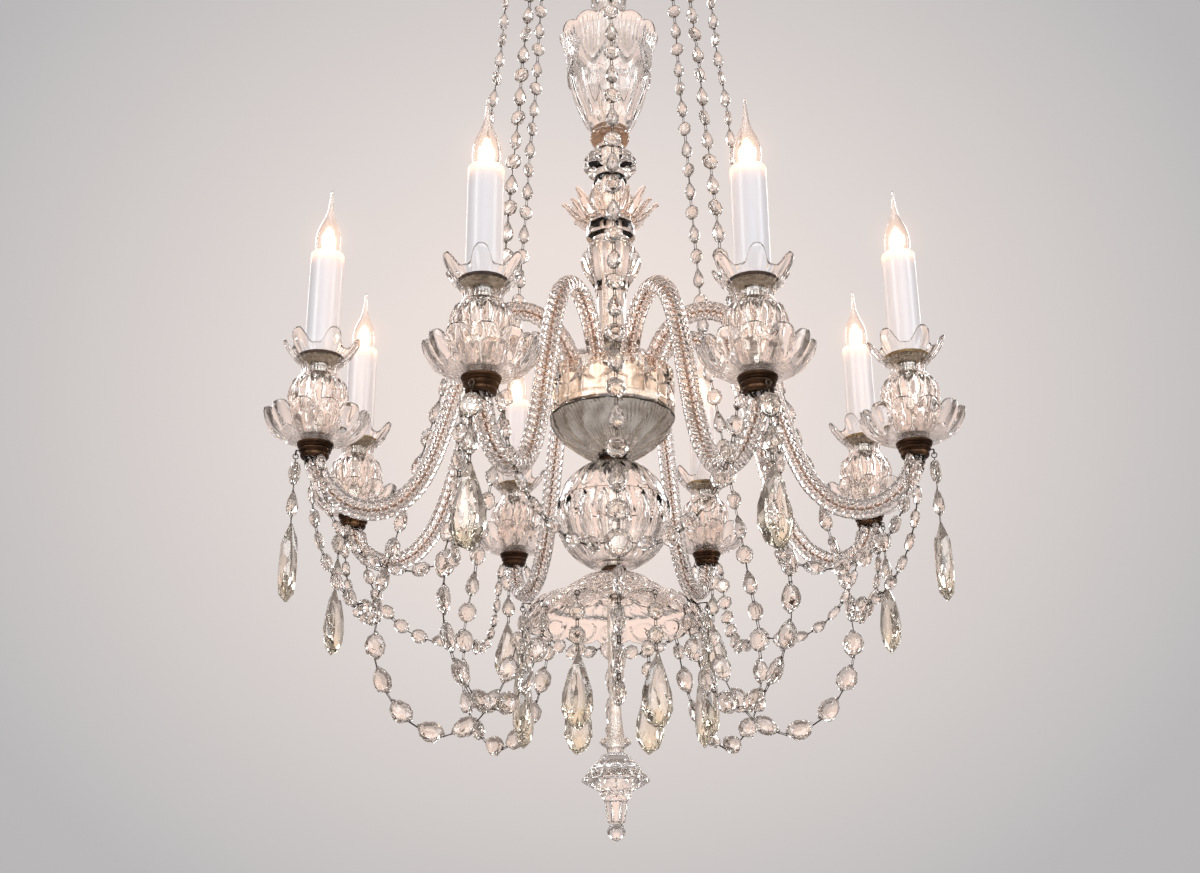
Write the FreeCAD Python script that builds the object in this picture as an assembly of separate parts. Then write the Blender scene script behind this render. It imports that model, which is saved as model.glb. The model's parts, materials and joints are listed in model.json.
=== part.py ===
import FreeCAD, Part
import math
import os

# Crystal chandelier with eight glass arms, electric candles and bead strings.
# Millimetres, +Z up. The origin is the centre of the hanging eye's bore, so the
# whole fixture hangs below z = 0. Azimuth 0 faces -Y, positive towards +X.

V = FreeCAD.Vector

# ---------------------------------------------------------------- driving sizes
EYE_TO_CUP = 800.0        # hanging eye centre down to the rim of the arm cups
ARM_REACH = 300.0         # stem axis to candle axis
ARM_TUBE_R = 9.6          # glass arm, outside
ARM_BORE_R = 4.4          # glass arm, inside
WIRE_R = 1.3              # lamp wire in the arm
ROD_R = 5.0               # steel rod that carries the stack
BORE_R = 5.6              # hole through each stem glass
CANDLE_R = 16.0           # candle sleeve
CANDLE_WALL = 1.4
CANDLE_TOP = 192.9        # above the cup rim
BULB_R = 13.0
BULB_TIP = 264.5
PAN_R = 48.8
BOBECHE_R = 36.4          # petalled candle cup
GALLERY_R = 21.2
ARM_DEV = {"a1": -21.86, "a2": 22.22, "b1": -66.95, "b2": 67.36,
           "c1": -112.45, "c2": 112.2, "d1": -157.86, "d2": 157.33}
STRING_AZ = [0.0, 45.0, 90.0, 135.0, 180.0, -135.0, -90.0, -45.0]
PIN_R = 0.5               # wire pins between beads
RING_R = 2.4              # little wire rings, centreline radius
RING_WIRE_R = 0.5
DROP_ARM_R = 317.2        # stem axis to the drops on the cups
DROP_SKIRT_R = 94.5       # stem axis to the drops on the skirt
BULB_LIFT = 30.0
PANS = 12                 # petals round a drip pan
PETALS = 6                # petals round a candle cup
LEAVES = 8                # leaves round the stem

ARM_NAMES = ["a1", "a2", "b2", "c2", "d2", "d1", "c1", "b1"]   # going round


def zz(z):
    """height above the cup rims -> row z"""
    return z - EYE_TO_CUP


def az_dir(az):
    t = math.radians(az)
    return V(math.sin(t), -math.cos(t), 0)


def az_tan(az):
    t = math.radians(az)
    return V(math.cos(t), math.sin(t), 0)


def at(r, az, z, off=0.0):
    return az_dir(az) * r + az_tan(az) * off + V(0, 0, zz(z))


# ---------------------------------------------------------------- shape helpers
def rev(pts, lift=True):
    """solid of revolution about Z from a closed (r, z) outline"""
    q = [V(r, 0, zz(z) if lift else z) for r, z in pts]
    q.append(q[0])
    face = Part.Face(Part.makePolygon(q))
    s = face.revolve(V(0, 0, 0), V(0, 0, 1), 360)
    if s.ShapeType != "Solid":
        s = Part.Solid(s) if s.ShapeType == "Shell" else s.Solids[0]
    if s.Volume < 0:
        s.reverse()
    return s


def shell_of(outer, inner):
    """outline from an outer and an inner (r, z) run, both listed the same way"""
    return list(outer) + list(reversed(inner))


def cyl(r, z0, z1, x=0.0, y=0.0, lift=True):
    a = zz(z0) if lift else z0
    return Part.makeCylinder(r, z1 - z0, V(x, y, a), V(0, 0, 1))


def notch(solid, n, r_c, z_c, rad, tilt, start=0.0, length=60.0):
    """cuts n round notches into a rim: cylinders that point outward and up"""
    tools = []
    for k in range(n):
        az = start + 360.0 * k / n
        d = az_dir(az) * math.cos(math.radians(tilt)) + V(0, 0, math.sin(math.radians(tilt)))
        p = az_dir(az) * r_c + V(0, 0, z_c)
        tools.append(Part.makeCylinder(rad, length, p - d * (length / 2), d))
    out = solid.cut(Part.makeCompound(tools))
    return out.Solids[0] if len(out.Solids) == 1 else max(out.Solids, key=lambda s: s.Volume)


def ring_solid(rings):
    """closed solid from stacked planar rings of equal point count"""
    faces = []
    n = len(rings[0])
    for a, b in zip(rings[:-1], rings[1:]):
        for i in range(n):
            j = (i + 1) % n
            faces.append(Part.Face(Part.makePolygon([a[i], a[j], b[j], b[i], a[i]])))
    faces.append(Part.Face(Part.makePolygon(rings[0] + [rings[0][0]])))
    faces.append(Part.Face(Part.makePolygon(rings[-1] + [rings[-1][0]])))
    s = Part.Solid(Part.Shell(faces))
    if s.Volume < 0:
        s.reverse()
    return s


def frame_of(axis, normal):
    a = V(axis)
    a.normalize()
    n = normal - a * normal.dot(a)
    n.normalize()
    return a, n, a.cross(n)


def ngon(c, u, v, ru, rv, n, turn=0.0):
    return [c + u * (ru * math.cos(math.radians(turn + 360.0 * i / n)))
            + v * (rv * math.sin(math.radians(turn + 360.0 * i / n))) for i in range(n)]


def bead(kind, c, axis, normal, length, width, thick):
    a, n, b = frame_of(axis, normal)
    if kind == "oct":
        k = 0.5 / math.cos(math.radians(22.5))
        return ring_solid([ngon(c + n * t, a, b, length * k, width * k, 8, 22.5)
                           for t in (-thick / 2, thick / 2)])
    if kind == "oval":
        st = [(-0.5, 0.28), (0.0, 1.0), (0.5, 0.28)]
        m = 6
    elif kind == "tear":
        st = [(-0.5, 0.22), (0.14, 1.0), (0.5, 0.40)]
        m = 6
    elif kind == "prism":
        st = [(-0.5, 0.9), (0.5, 0.9)]
        m = 6
    else:   # pear: narrow at the start of the axis
        st = [(-0.5, 0.10), (-0.02, 0.82), (0.20, 1.0), (0.40, 0.72), (0.5, 0.30)]
        m = 8 if length > 50 else 6
    return ring_solid([ngon(c + a * (length * s), n, b, thick / 2 * f, width / 2 * f, m, 0.0)
                       for s, f in st])


def rod_between(p, q, r, over=0.4):
    d = q - p
    length = d.Length
    d.normalize()
    return Part.makeCylinder(r, length + 2 * over, p - d * over, d)


# ---------------------------------------------------------------- bead chains
def along(poly, s):
    """point at arc length s of a polyline"""
    for p, q in zip(poly[:-1], poly[1:]):
        d = (q - p).Length
        if s <= d or q is poly[-1]:
            return p + (q - p) * (s / d)
        s -= d
    return poly[-1]


def chain(poly, beads):
    """beads = [(kind, length, width, thick)] spread along the polyline with equal
    gaps; returns bead placements and the pins between them"""
    total = sum((q - p).Length for p, q in zip(poly[:-1], poly[1:]))
    gap = (total - sum(b[1] for b in beads)) / (len(beads) + 1)
    s = gap
    placed, pins = [], []
    last = poly[0]
    for kind, length, width, thick in beads:
        p, q = along(poly, s), along(poly, s + length)
        placed.append((kind, (p + q) * 0.5, q - p, (q - p).Length, width, thick))
        pins.append((last, p))
        last = q
        s += length + gap
    pins.append((last, poly[-1]))
    return placed, pins, gap


STRING_RZ = [(108.0, 690.0), (112.5, 640.0), (117.0, 578.0), (121.0, 510.0), (130.0, 434.0),
             (134.0, 370.0), (141.0, 300.0), (147.0, 230.0), (150.0, 183.0), (162.0, 142.0),
             (168.0, 115.0), (172.5, 84.0), (183.0, 25.0), (194.0, -33.0), (198.0, -62.0),
             (204.0, -90.0)]
JUNC = {0.0: (210.0, -121.0), 45.0: (212.0, -122.0), -45.0: (212.0, -122.0),
        90.0: (230.0, -130.0), -90.0: (230.0, -130.0), 135.0: (225.0, -128.0),
        -135.0: (225.0, -128.0), 180.0: (220.0, -125.0)}
JUNC_W = 25.0
SWAG_TZ = [(0.0, -12.0), (0.015, -26.0), (0.04, -46.0), (0.10, -68.0), (0.20, -88.0),
           (0.32, -103.0), (0.46, -115.0), (0.62, -122.5), (0.80, -126.0), (1.0, -121.0)]
GARLAND_RZ = [(2.0, -30.0), (-1.0, -52.0), (-13.0, -84.0), (-33.0, -110.0), (-59.0, -121.0),
              (-81.0, -112.0), (-99.0, -88.0), (-111.0, -58.0)]


def string_beads_spec(length_total):
    out = []
    used = 0.0
    k = 0
    while True:
        s = used / length_total
        if k % 2 == 0:
            b = ("oct", 16.0 + 6.0 * s * s, 16.0 + 6.0 * s * s, 7.0 + 2.2 * s * s)
        else:
            b = ("tear", 20.5 + 6.5 * s * s, 13.4 + 4.4 * s * s, 11.8 + 2.6 * s * s)
        if used + b[1] + 7.6 > length_total:
            return out
        out.append(b)
        used += b[1] + 7.2
        k += 1


def string_path(az):
    jr, jz = JUNC[az]
    pts = []
    for r, z in STRING_RZ:
        w = min(1.0, max(0.0, (142.0 - z) / (142.0 + 90.0)))
        pts.append(at(r + (jr - 210.0) * w, az, z))
    pts.append(at(jr, az, jz + JUNC_W / 2))
    return pts


def swag_path(arm_az, az):
    """from the side of an arm's cup to the side of a junction"""
    side = 1.0 if ((az - arm_az + 180.0) % 360.0) - 180.0 > 0 else -1.0
    jr, jz = JUNC[az]
    p0 = at(ARM_REACH - 1.0, arm_az, 0.0, side * 17.8)
    p1 = at(jr, az, 0.0, -side * JUNC_W / 2)
    pts = []
    for t, z in SWAG_TZ:
        w = t
        z = z + (jz + 121.0) * w
        p = p0 + (p1 - p0) * t
        pts.append(V(p.x, p.y, zz(z)))
    pts[0] = at(ARM_REACH - 3.0, arm_az, -10.5, side * 12.2)
    return pts, side


def garland_path(az):
    jr, jz = JUNC[az]
    pts = [at(jr, az, jz - JUNC_W / 2)]
    end_r, end_z = 89.5, -144.0
    for dr, dz in GARLAND_RZ:
        r = jr + dr * (jr - 92.0) / 118.0 if dr < 0 else jr + dr
        pts.append(at(r, az, jz + dz))
    pts.append(at(end_r, az, end_z))
    return pts


string_solids, swag_solids, garland_solids, pin_solids = [], [], [], []
for az in STRING_AZ:
    path = string_path(az)
    total = sum((q - p).Length for p, q in zip(path[:-1], path[1:]))
    placed, pins, gap = chain(path, string_beads_spec(total))
    for i, (kind, c, axis, length, width, thick) in enumerate(placed):
        string_solids.append(bead(kind, c, axis, az_dir(az), length, width, thick))
    for p, q in pins:
        pin_solids.append(rod_between(p, q, PIN_R))
    jr, jz = JUNC[az]
    string_solids.append(bead("oct", at(jr, az, jz), V(0, 0, -1), az_dir(az),
                              JUNC_W, JUNC_W, 10.0))
    gp = garland_path(az)
    g_total = sum((q - p).Length for p, q in zip(gp[:-1], gp[1:]))
    placed, pins, g_gap = chain(gp, [("pear", 27.5, 20.0, 10.0)] * 7 + [("oct", 16.0, 16.0, 7.0)])
    for kind, c, axis, length, width, thick in placed:
        garland_solids.append(bead(kind, c, axis, az_tan(az), length, width, thick))
    for p, q in pins:
        pin_solids.append(rod_between(p, q, PIN_R))
    print("string", az, "length", round(total), "gap", round(gap, 1),
          "garland", round(g_total), "gap", round(g_gap, 1))

NEXT = {"a1": (0.0, -45.0), "a2": (45.0, 0.0), "b2": (90.0, 45.0), "c2": (135.0, 90.0),
        "d2": (180.0, 135.0), "d1": (-135.0, 180.0), "c1": (-90.0, -135.0), "b1": (-45.0, -90.0)}
for name in ARM_NAMES:
    for which, az in enumerate(NEXT[name]):
        path, side = swag_path(ARM_DEV[name], az)
        if which == 0:   # long cut lustres, then an olive by the junction
            spec = [("prism", 17.5, 9.0, 9.0)] * 5 + [("oval", 17.5, 12.0, 11.0)] * 2 + [("oct", 16.5, 16.5, 7.0)]
        else:            # octagons, then olives
            spec = [("prism", 16.0, 8.5, 8.5)] + [("oct", 17.0, 17.0, 7.0)] * 5 + [("oct", 18.0, 18.0, 7.5),
                    ("oval", 21.0, 14.0, 12.0)]
        placed, pins, gap = chain(path, spec)
        for kind, c, axis, length, width, thick in placed:
            swag_solids.append(bead(kind, c, axis, az_dir((ARM_DEV[name] + az) / 2 if abs(ARM_DEV[name] - az) < 90 else 180.0),
                                    length, width, thick))
        for p, q in pins:
            pin_solids.append(rod_between(p, q, PIN_R))
print("swag gap", round(gap, 1))

# ---------------------------------------------------------------- hung drops
def torus(c, axis, big=RING_R, small=RING_WIRE_R):
    return Part.makeTorus(big, small, c, axis)


def fixed_ring(r, az, z_low, peg_from):
    """wire ring in the tangent plane on a peg; its lowest wire centre is the hinge"""
    c = at(r, az, z_low + RING_R)
    ring = torus(c, az_dir(az))
    top = at(r, az, z_low + 2 * RING_R)
    peg = Part.makeCylinder(0.6, r - peg_from + 0.3, at(peg_from, az, z_low + 2 * RING_R), az_dir(az))
    return ring.fuse(peg).Solids[0]


def drop_chain(r, az, z_low, items):
    """moving ring, then pieces hung in a straight line; items = (kind, length, width, thick, gap above)"""
    z = z_low + 2 * RING_WIRE_R + 0.3
    ring_c = at(r, az, z - RING_R)
    solids = []
    z = z - 2 * RING_R
    first = True
    for kind, length, width, thick, gap in items:
        pin = Part.makeCylinder(PIN_R, gap, at(r, az, z - gap), V(0, 0, 1))
        if first:
            pin = torus(ring_c, az_tan(az)).fuse(pin).Solids[0]
            first = False
        solids.append(pin)
        z -= gap
        solids.append(bead(kind, at(r, az, z - length / 2), V(0, 0, -1), az_dir(az), length, width, thick))
        z -= length
    return solids, z


nodes = {}
drop_report = []
for name in ARM_NAMES:
    az = ARM_DEV[name]
    pin_solids.append(fixed_ring(DROP_ARM_R, az, -13.5, ARM_REACH + 11.0))
    nodes["arm_drop_" + name], zb = drop_chain(DROP_ARM_R, az, -13.5, [
        ("oct", 21.0, 21.0, 9.0, 3.0), ("pear", 25.0, 17.0, 11.0, 6.0), ("pear", 72.0, 33.0, 15.0, 6.5)])
    pin_solids.append(fixed_ring(DROP_SKIRT_R, az, -136.5, 84.5))
    nodes["skirt_drop_" + name], zs = drop_chain(DROP_SKIRT_R, az, -136.5, [
        ("oct", 16.0, 16.0, 7.0, 3.0), ("oct", 16.0, 16.0, 7.0, 6.0), ("pear", 71.0, 31.0, 14.0, 6.0)])
print("drop bottoms", zb, zs)

# ---------------------------------------------------------------- arms
ARM_RZ = [(42.5, 97.0), (42.8, 120.0), (57.0, 151.0), (83.0, 170.5), (112.0, 169.5),
          (137.0, 150.0), (153.0, 118.0), (165.0, 78.0), (176.0, 38.0), (186.0, 4.0),
          (200.0, -28.0), (222.0, -51.5), (247.0, -59.5), (272.0, -54.0), (292.0, -37.0),
          (300.0, -18.0), (300.0, -5.6)]
WIRE_RZ = [(42.5, 90.2)] + ARM_RZ[1:-1] + [(300.0, 2.0)]


def arc_path(rz):
    """straight runs joined by tangent arcs, in the XZ plane at azimuth +90"""
    p = [V(r, 0, zz(z)) for r, z in rz]
    edges = []
    cur = p[0]
    radii = []
    for i in range(1, len(p) - 1):
        a, b, c = p[i - 1], p[i], p[i + 1]
        u = a - b
        w = c - b
        lu, lw = u.Length, w.Length
        u.normalize()
        w.normalize()
        turn = math.pi - u.getAngle(w)
        t = 0.45 * min(lu, lw)
        rad = t / math.tan(turn / 2)
        radii.append(round(rad))
        s, e = b + u * t, b + w * t
        bis = u + w
        bis.normalize()
        centre = b + bis * (rad / math.cos(turn / 2))
        mid = centre + (b - centre).normalize() * rad
        edges.append(Part.LineSegment(cur, s).toShape())
        edges.append(Part.Arc(s, mid, e).toShape())
        cur = e
    edges.append(Part.LineSegment(cur, p[-1]).toShape())
    return Part.Wire(edges), radii


def sweep(wire, start, r):
    circ = Part.Wire([Part.makeCircle(r, start, V(0, 0, 1))])
    s = wire.makePipeShell([circ], True, False, 0)
    if s.ShapeType != "Solid":
        s = s.Solids[0]
    if s.Volume < 0:
        s.reverse()
    return s


arm_wire, radii = arc_path(ARM_RZ)
print("arm bend radii", radii, "length", round(arm_wire.Length, 1))
start = V(ARM_RZ[0][0], 0, zz(ARM_RZ[0][1]))
outer = sweep(arm_wire, start, ARM_TUBE_R)
inner = sweep(arm_wire, start, ARM_BORE_R)
arm = outer.cut(inner)
arm = arm.Solids[0] if arm.Solids else arm
print("arm volume", round(arm.Volume), "expected",
      round(math.pi * (ARM_TUBE_R ** 2 - ARM_BORE_R ** 2) * arm_wire.Length))
lead_wire, _ = arc_path(WIRE_RZ)
lead = sweep(lead_wire, V(WIRE_RZ[0][0], 0, zz(WIRE_RZ[0][1])), WIRE_R)
print("lead volume", round(lead.Volume), "expected", round(math.pi * WIRE_R ** 2 * lead_wire.Length))


def to_az(shape, az):
    """moves a shape built on azimuth +90 (the +X side) to azimuth az"""
    s = shape.copy()
    s.rotate(V(0, 0, 0), V(0, 0, 1), az - 90.0)
    return s


# ---------------------------------------------------------------- candle stack
def on_arm(shape):
    s = shape.copy()
    s.translate(V(ARM_REACH, 0, 0))
    return s


cup = rev([(3.2, -5.0), (9.9, -5.0), (9.9, -15.0), (11.8, -15.0), (13.2, -12.0), (13.2, -9.0), (14.8, -8.0),
           (14.8, -5.5), (16.0, -4.8), (16.0, -3.2), (16.8, -2.6), (16.8, 0.0), (3.2, 0.0)])
pan = rev([(4.4, 0.0), (13.0, 0.0), (24.0, 1.6), (35.0, 6.2), (43.0, 13.0), (47.6, 21.0), (PAN_R, 29.0),
           (46.0, 29.8), (44.2, 22.6), (40.6, 16.0), (34.0, 10.2), (23.0, 5.8), (12.0, 4.0), (4.4, 4.0)])
pan = notch(pan, PANS, 50.0, zz(30.5), 6.3, 8.0, 15.0)
vase_small = rev([(4.4, 4.0), (12.0, 4.0), (15.0, 8.0), (20.0, 17.0), (24.2, 30.0), (26.4, 42.0), (26.6, 50.0), (25.0, 57.5), (20.8, 63.0), (17.6, 67.0), (17.0, 71.0),
                  (18.2, 76.0), (22.5, 81.5), (27.4, 87.0), (31.6, 93.0), (34.8, 99.0), (BOBECHE_R, 104.0),
                  (34.0, 104.8), (31.2, 98.6), (27.4, 92.0), (23.4, 85.8), (20.6, 82.8), (17.0, 80.4), (14.9, 76.5), (13.8, 71.0), (14.3, 67.0), (17.4, 62.4),
                  (21.4, 56.4), (23.0, 50.0), (22.8, 43.0), (20.8, 31.0), (16.6, 19.6), (11.5, 10.5), (4.4, 8.0)])
vase_small = notch(vase_small, PETALS, 36.0, zz(103.5), 10.2, 25.0, 0.0)
vase_small = notch(vase_small, PETALS, 36.0, zz(110.5), 14.2, 25.0, 0.0)
gallery = rev([(4.4, 78.7), (11.0, 78.7), (13.0, 80.6), (16.0, 82.6), (20.0, 83.8), (GALLERY_R, 84.4), (GALLERY_R, 85.6), (20.4, 86.4), (4.4, 86.4)])
sleeve = rev([(CANDLE_R - CANDLE_WALL, 86.6), (CANDLE_R, 86.6), (CANDLE_R, CANDLE_TOP), (CANDLE_R - CANDLE_WALL, CANDLE_TOP)])
holder = rev([(0.0, 88.6), (0.0, 160.0), (7.3, 160.0), (7.3, 190.0), (12.0, 190.0), (12.0, 132.0), (9.0, 130.0),
              (9.0, 86.8), (4.0, 86.8), (4.0, 78.4), (8.0, 78.4), (8.0, 69.0), (9.0, 68.4), (9.0, 66.6), (4.0, 66.0), (4.0, 0.4), (0.0, 0.4)][::-1])
holder = holder.cut(cyl(2.3, 0.0, 3.0))
holder = holder.Solids[0]
bulb = rev([(0.0, 161.0), (2.4, 161.0), (3.0, 163.0), (7.0, 165.5), (7.0, 191.0), (9.6, 194.0), (11.6, 199.5), (12.1, 206.0),
            (11.2, 216.0), (9.3, 226.0), (6.9, 236.0), (4.7, 246.0), (3.0, 255.0), (1.9, 261.0), (0.0, BULB_TIP)])

groups = {"arm_cups": cup, "drip_pans": pan, "candle_vases": vase_small, "gallery_rings": gallery,
          "candle_sleeves": sleeve, "lampholders": holder}
for node, shape in groups.items():
    nodes[node] = [to_az(on_arm(shape), ARM_DEV[n]) for n in ARM_NAMES]
for n in ARM_NAMES:
    nodes["bulb_" + n] = [to_az(on_arm(bulb), ARM_DEV[n])]
nodes["glass_arms_front"] = [to_az(arm, ARM_DEV[n]) for n in ("a1", "a2", "b1", "b2")]
nodes["glass_arms_back"] = [to_az(arm, ARM_DEV[n]) for n in ("c1", "c2", "d1", "d2")]
nodes["arm_wires"] = [to_az(lead, ARM_DEV[n]) for n in ARM_NAMES]

# ---------------------------------------------------------------- hanging eye and crown
eye = Part.makeCylinder(14.0, 8.0, V(-4, 0, 0), V(1, 0, 0))
eye = eye.fuse(Part.makeCylinder(6.0, 12.0, V(0, 0, -24.0), V(0, 0, 1)))
eye = eye.cut(Part.makeCylinder(9.0, 20.0, V(-10, 0, 0), V(1, 0, 0))).Solids[0]
nodes["hang_eye"] = [eye]
nodes["top_cap"] = [rev([(BORE_R, 752.0), (21.0, 752.0), (22.0, 755.0), (17.0, 760.0), (15.0, 768.0), (10.0, 776.0), (BORE_R, 776.0)])]
crown = rev([(BORE_R, 698.0), (15.0, 698.0), (16.0, 712.0), (19.0, 728.0), (30.0, 736.5), (60.0, 731.0), (90.0, 720.0), (105.0, 710.0), (110.5, 698.0),
             (114.5, 698.0), (110.0, 712.0), (93.0, 724.5), (61.0, 736.0), (34.0, 744.0), (20.0, 752.0), (BORE_R, 752.0)])
nodes["crown_glass"] = [notch(crown, 16, 113.0, zz(696.0), 5.0, -10.0, 11.25)]
ring = rev([(104.5, 690.0), (109.0, 690.0), (109.0, 694.0), (104.5, 694.0)])
hub = rev([(BORE_R, 690.0), (12.0, 690.0), (12.0, 697.6), (BORE_R, 697.6)])
for k in range(4):
    spoke = Part.makeCylinder(1.8, 95.0, V(0, 0, zz(692.0)) + az_dir(22.5 + 90 * k) * 11.0, az_dir(22.5 + 90 * k))
    hub = hub.fuse(spoke)
nodes["crown_ring"] = [ring.fuse(hub).Solids[0]]

# ---------------------------------------------------------------- stem
nodes["stem_rod"] = [cyl(ROD_R, -262.0, 776.0)]
nodes["upper_stem_glass"] = [rev([(BORE_R, 407.5), (9.0, 407.5), (9.0, 548.0), (13.0, 556.0), (19.0, 566.0), (21.0, 576.0), (17.0, 588.0),
                                  (12.0, 600.0), (13.0, 622.0), (19.0, 646.0), (24.0, 664.0), (22.0, 676.0), (14.0, 684.0), (13.0, 690.0), (BORE_R, 690.0)])]
vase = rev([(BORE_R, 400.0), (20.0, 400.0), (22.0, 404.0), (25.5, 410.0), (31.5, 425.0), (37.5, 440.0), (42.0, 455.0), (44.5, 470.0), (45.0, 495.0), (46.5, 508.0), (51.0, 519.0), (56.0, 526.0),
            (52.5, 529.5), (47.0, 523.0), (42.8, 511.0), (41.2, 495.0), (40.6, 470.0), (38.0, 456.0), (33.5, 442.0), (27.5, 427.0), (21.5, 414.0), (16.0, 407.5), (BORE_R, 407.5)])
nodes["vase_glass"] = [notch(vase, 12, 55.0, zz(532.0), 5.2, 20.0, 15.0)]
nodes["vase_foot"] = [rev([(BORE_R, 380.0), (14.0, 380.0), (14.5, 384.0), (20.0, 390.0), (22.0, 395.0), (20.0, 400.0), (BORE_R, 400.0)])]
collar = rev([(BORE_R, 345.0), (17.0, 345.0), (17.5, 350.0), (25.0, 353.0), (29.0, 358.0), (29.0, 367.0), (24.0, 372.0), (15.0, 375.0), (14.0, 380.0), (BORE_R, 380.0)])
nodes["scalloped_collar"] = [notch(collar, 8, 31.0, zz(362.5), 5.0, 90.0, 22.5)]
nodes["baluster_glass"] = [rev([(BORE_R, 289.0), (19.0, 289.0), (21.5, 297.0), (25.0, 304.0), (26.0, 310.0), (22.5, 324.0), (19.5, 334.0), (17.0, 345.0), (BORE_R, 345.0)])]
leaf = rev([(22.4, 290.5), (26.0, 289.5), (32.0, 292.5), (38.0, 297.2), (44.5, 304.5), (51.5, 315.0),
            (49.0, 316.8), (42.2, 307.0), (36.0, 300.4), (30.4, 296.4), (25.6, 294.0)])
tools = []
for k in range(LEAVES):
    az = 22.5 + 360.0 * k / LEAVES
    d = az_dir(az)
    t = az_tan(az)
    a = d * 28.5 + V(0, 0, zz(292.0))
    tri = Part.Face(Part.makePolygon([a, d * 62.0 + t * 18.0 + V(0, 0, zz(326.0)), d * 62.0 - t * 18.0 + V(0, 0, zz(326.0)), a]))
    nrm = (V(0, 0, 1) * 1.0 - d * 1.0)
    nrm.normalize()
    tri.translate(nrm * -14.0)
    tools.append(tri.extrude(nrm * 34.0))
leaf2 = leaf.cut(Part.makeCompound(tools))
leaf2 = max(leaf2.Solids, key=lambda s: s.Volume)
nodes["leaf_crown"] = [leaf2]
nodes["gourd_glass"] = [rev([(BORE_R, 151.0), (24.0, 151.0), (19.0, 158.0), (16.5, 170.0), (17.0, 200.0), (18.5, 215.0), (26.0, 227.0), (31.0, 238.0), (32.0, 246.0),
                             (29.0, 256.0), (22.0, 265.0), (21.0, 269.0), (26.0, 272.0), (26.0, 286.0), (23.0, 289.0), (BORE_R, 289.0)])]
nodes["hub_dome"] = [rev([(BORE_R, 112.4), (30.0, 112.4), (31.0, 118.0), (28.5, 130.0), (24.0, 140.0), (17.0, 147.0), (12.0, 151.0), (BORE_R, 151.0)])]
plate = rev([(BORE_R, 69.0), (57.0, 69.0), (58.5, 71.0), (58.5, 77.0), (57.0, 79.0), (24.0, 79.0), (24.0, 112.4), (BORE_R, 112.4)])
for n in ARM_NAMES:
    x, y = az_dir(ARM_DEV[n]).x * 42.5, az_dir(ARM_DEV[n]).y * 42.5
    plate = plate.fuse(cyl(12.4, 77.0, 106.0, x, y))
for n in ARM_NAMES:
    x, y = az_dir(ARM_DEV[n]).x * 42.5, az_dir(ARM_DEV[n]).y * 42.5
    plate = plate.cut(cyl(9.9, 97.0, 120.0, x, y)).cut(cyl(2.6, 89.0, 100.0, x, y))
nodes["arm_plate"] = [plate.Solids[0]]
nodes["star_bowl"] = [rev([(60.0, 67.5), (63.5, 67.5), (64.8, 80.0), (64.5, 115.0), (61.0, 115.5), (60.4, 100.0)])]
nodes["fluted_bowl"] = [rev([(BORE_R, 22.0), (17.0, 22.0), (30.0, 28.5), (44.0, 38.0), (56.0, 49.0), (62.5, 60.0), (64.0, 67.5), (60.0, 67.5),
                             (57.5, 61.0), (52.0, 52.0), (41.5, 42.5), (28.5, 34.0), (17.0, 29.0), (BORE_R, 29.0)])]
collars = [rev([(BORE_R, 17.5), (16.5, 17.5), (17.0, 18.5), (17.0, 21.0), (16.5, 22.0), (BORE_R, 22.0)]),
           rev([(BORE_R, -95.0), (11.0, -95.0), (12.5, -92.5), (12.5, -90.5), (11.0, -88.0), (BORE_R, -88.0)])]
nodes["neck_collars"] = collars
GC, GR = -35.0, 57.5


def globe(z0, z1, n=9):
    out_pts = []
    in_pts = []
    for i in range(n + 1):
        z = z0 + (z1 - z0) * i / n
        out_pts.append((math.sqrt(GR ** 2 - (z - GC) ** 2), z))
    return out_pts


up = globe(-21.0, 17.5)
upi = [(math.sqrt((GR - 4.0) ** 2 - (z - GC) ** 2), z) for z in [-21.0 + 34.5 * i / 8 for i in range(9)]]
nodes["globe_upper"] = [rev(up + [(BORE_R, 17.5), (BORE_R, 13.5)] + upi[::-1])]
lo = globe(-21.0, -88.0, 12)
loi = [(math.sqrt((GR - 4.0) ** 2 - (z - GC) ** 2), z) for z in [-21.0 - 63.0 * i / 11 for i in range(12)]]
nodes["globe_lower"] = [rev(lo + [(BORE_R, -88.0), (BORE_R, -84.0)] + loi[::-1])]
skirt = rev([(BORE_R, -95.0), (14.0, -95.0), (26.0, -97.0), (41.0, -106.0), (50.0, -112.5), (60.0, -117.5), (70.0, -121.0), (79.5, -125.5), (86.0, -132.5), (88.5, -140.0), (89.0, -147.0),
             (85.2, -147.0), (84.6, -140.5), (82.6, -135.0), (77.0, -129.3), (68.5, -125.2), (58.5, -121.6), (48.0, -116.4), (39.0, -110.0), (25.0, -101.2), (14.0, -99.0), (BORE_R, -99.0)])
nodes["skirt_dish"] = [notch(skirt, 16, 89.0, zz(-149.5), 4.6, -10.0, 11.25)]
nodes["finial_stem"] = [rev([(BORE_R, -99.0), (10.0, -99.0), (8.4, -104.0), (8.0, -150.0), (8.0, -247.0), (9.0, -252.0), (15.0, -255.0), (15.0, -258.5), (9.5, -262.0), (BORE_R, -262.0)])]
nodes["finial_glass"] = [rev([(0.0, -262.0), (8.5, -262.0), (8.5, -267.0), (14.0, -270.0), (16.0, -274.0), (22.0, -278.0), (24.0, -282.0), (32.0, -290.5), (32.0, -293.5),
                              (24.0, -298.0), (16.0, -302.0), (14.5, -308.0), (12.0, -310.0), (9.0, -329.0), (5.5, -331.5), (8.0, -334.5), (9.0, -338.5), (6.0, -343.5), (0.0, -347.0)])]

nodes["string_beads"] = string_solids
nodes["swag_beads"] = swag_solids
nodes["garland_beads"] = garland_solids
nodes["wire_pins"] = pin_solids

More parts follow.
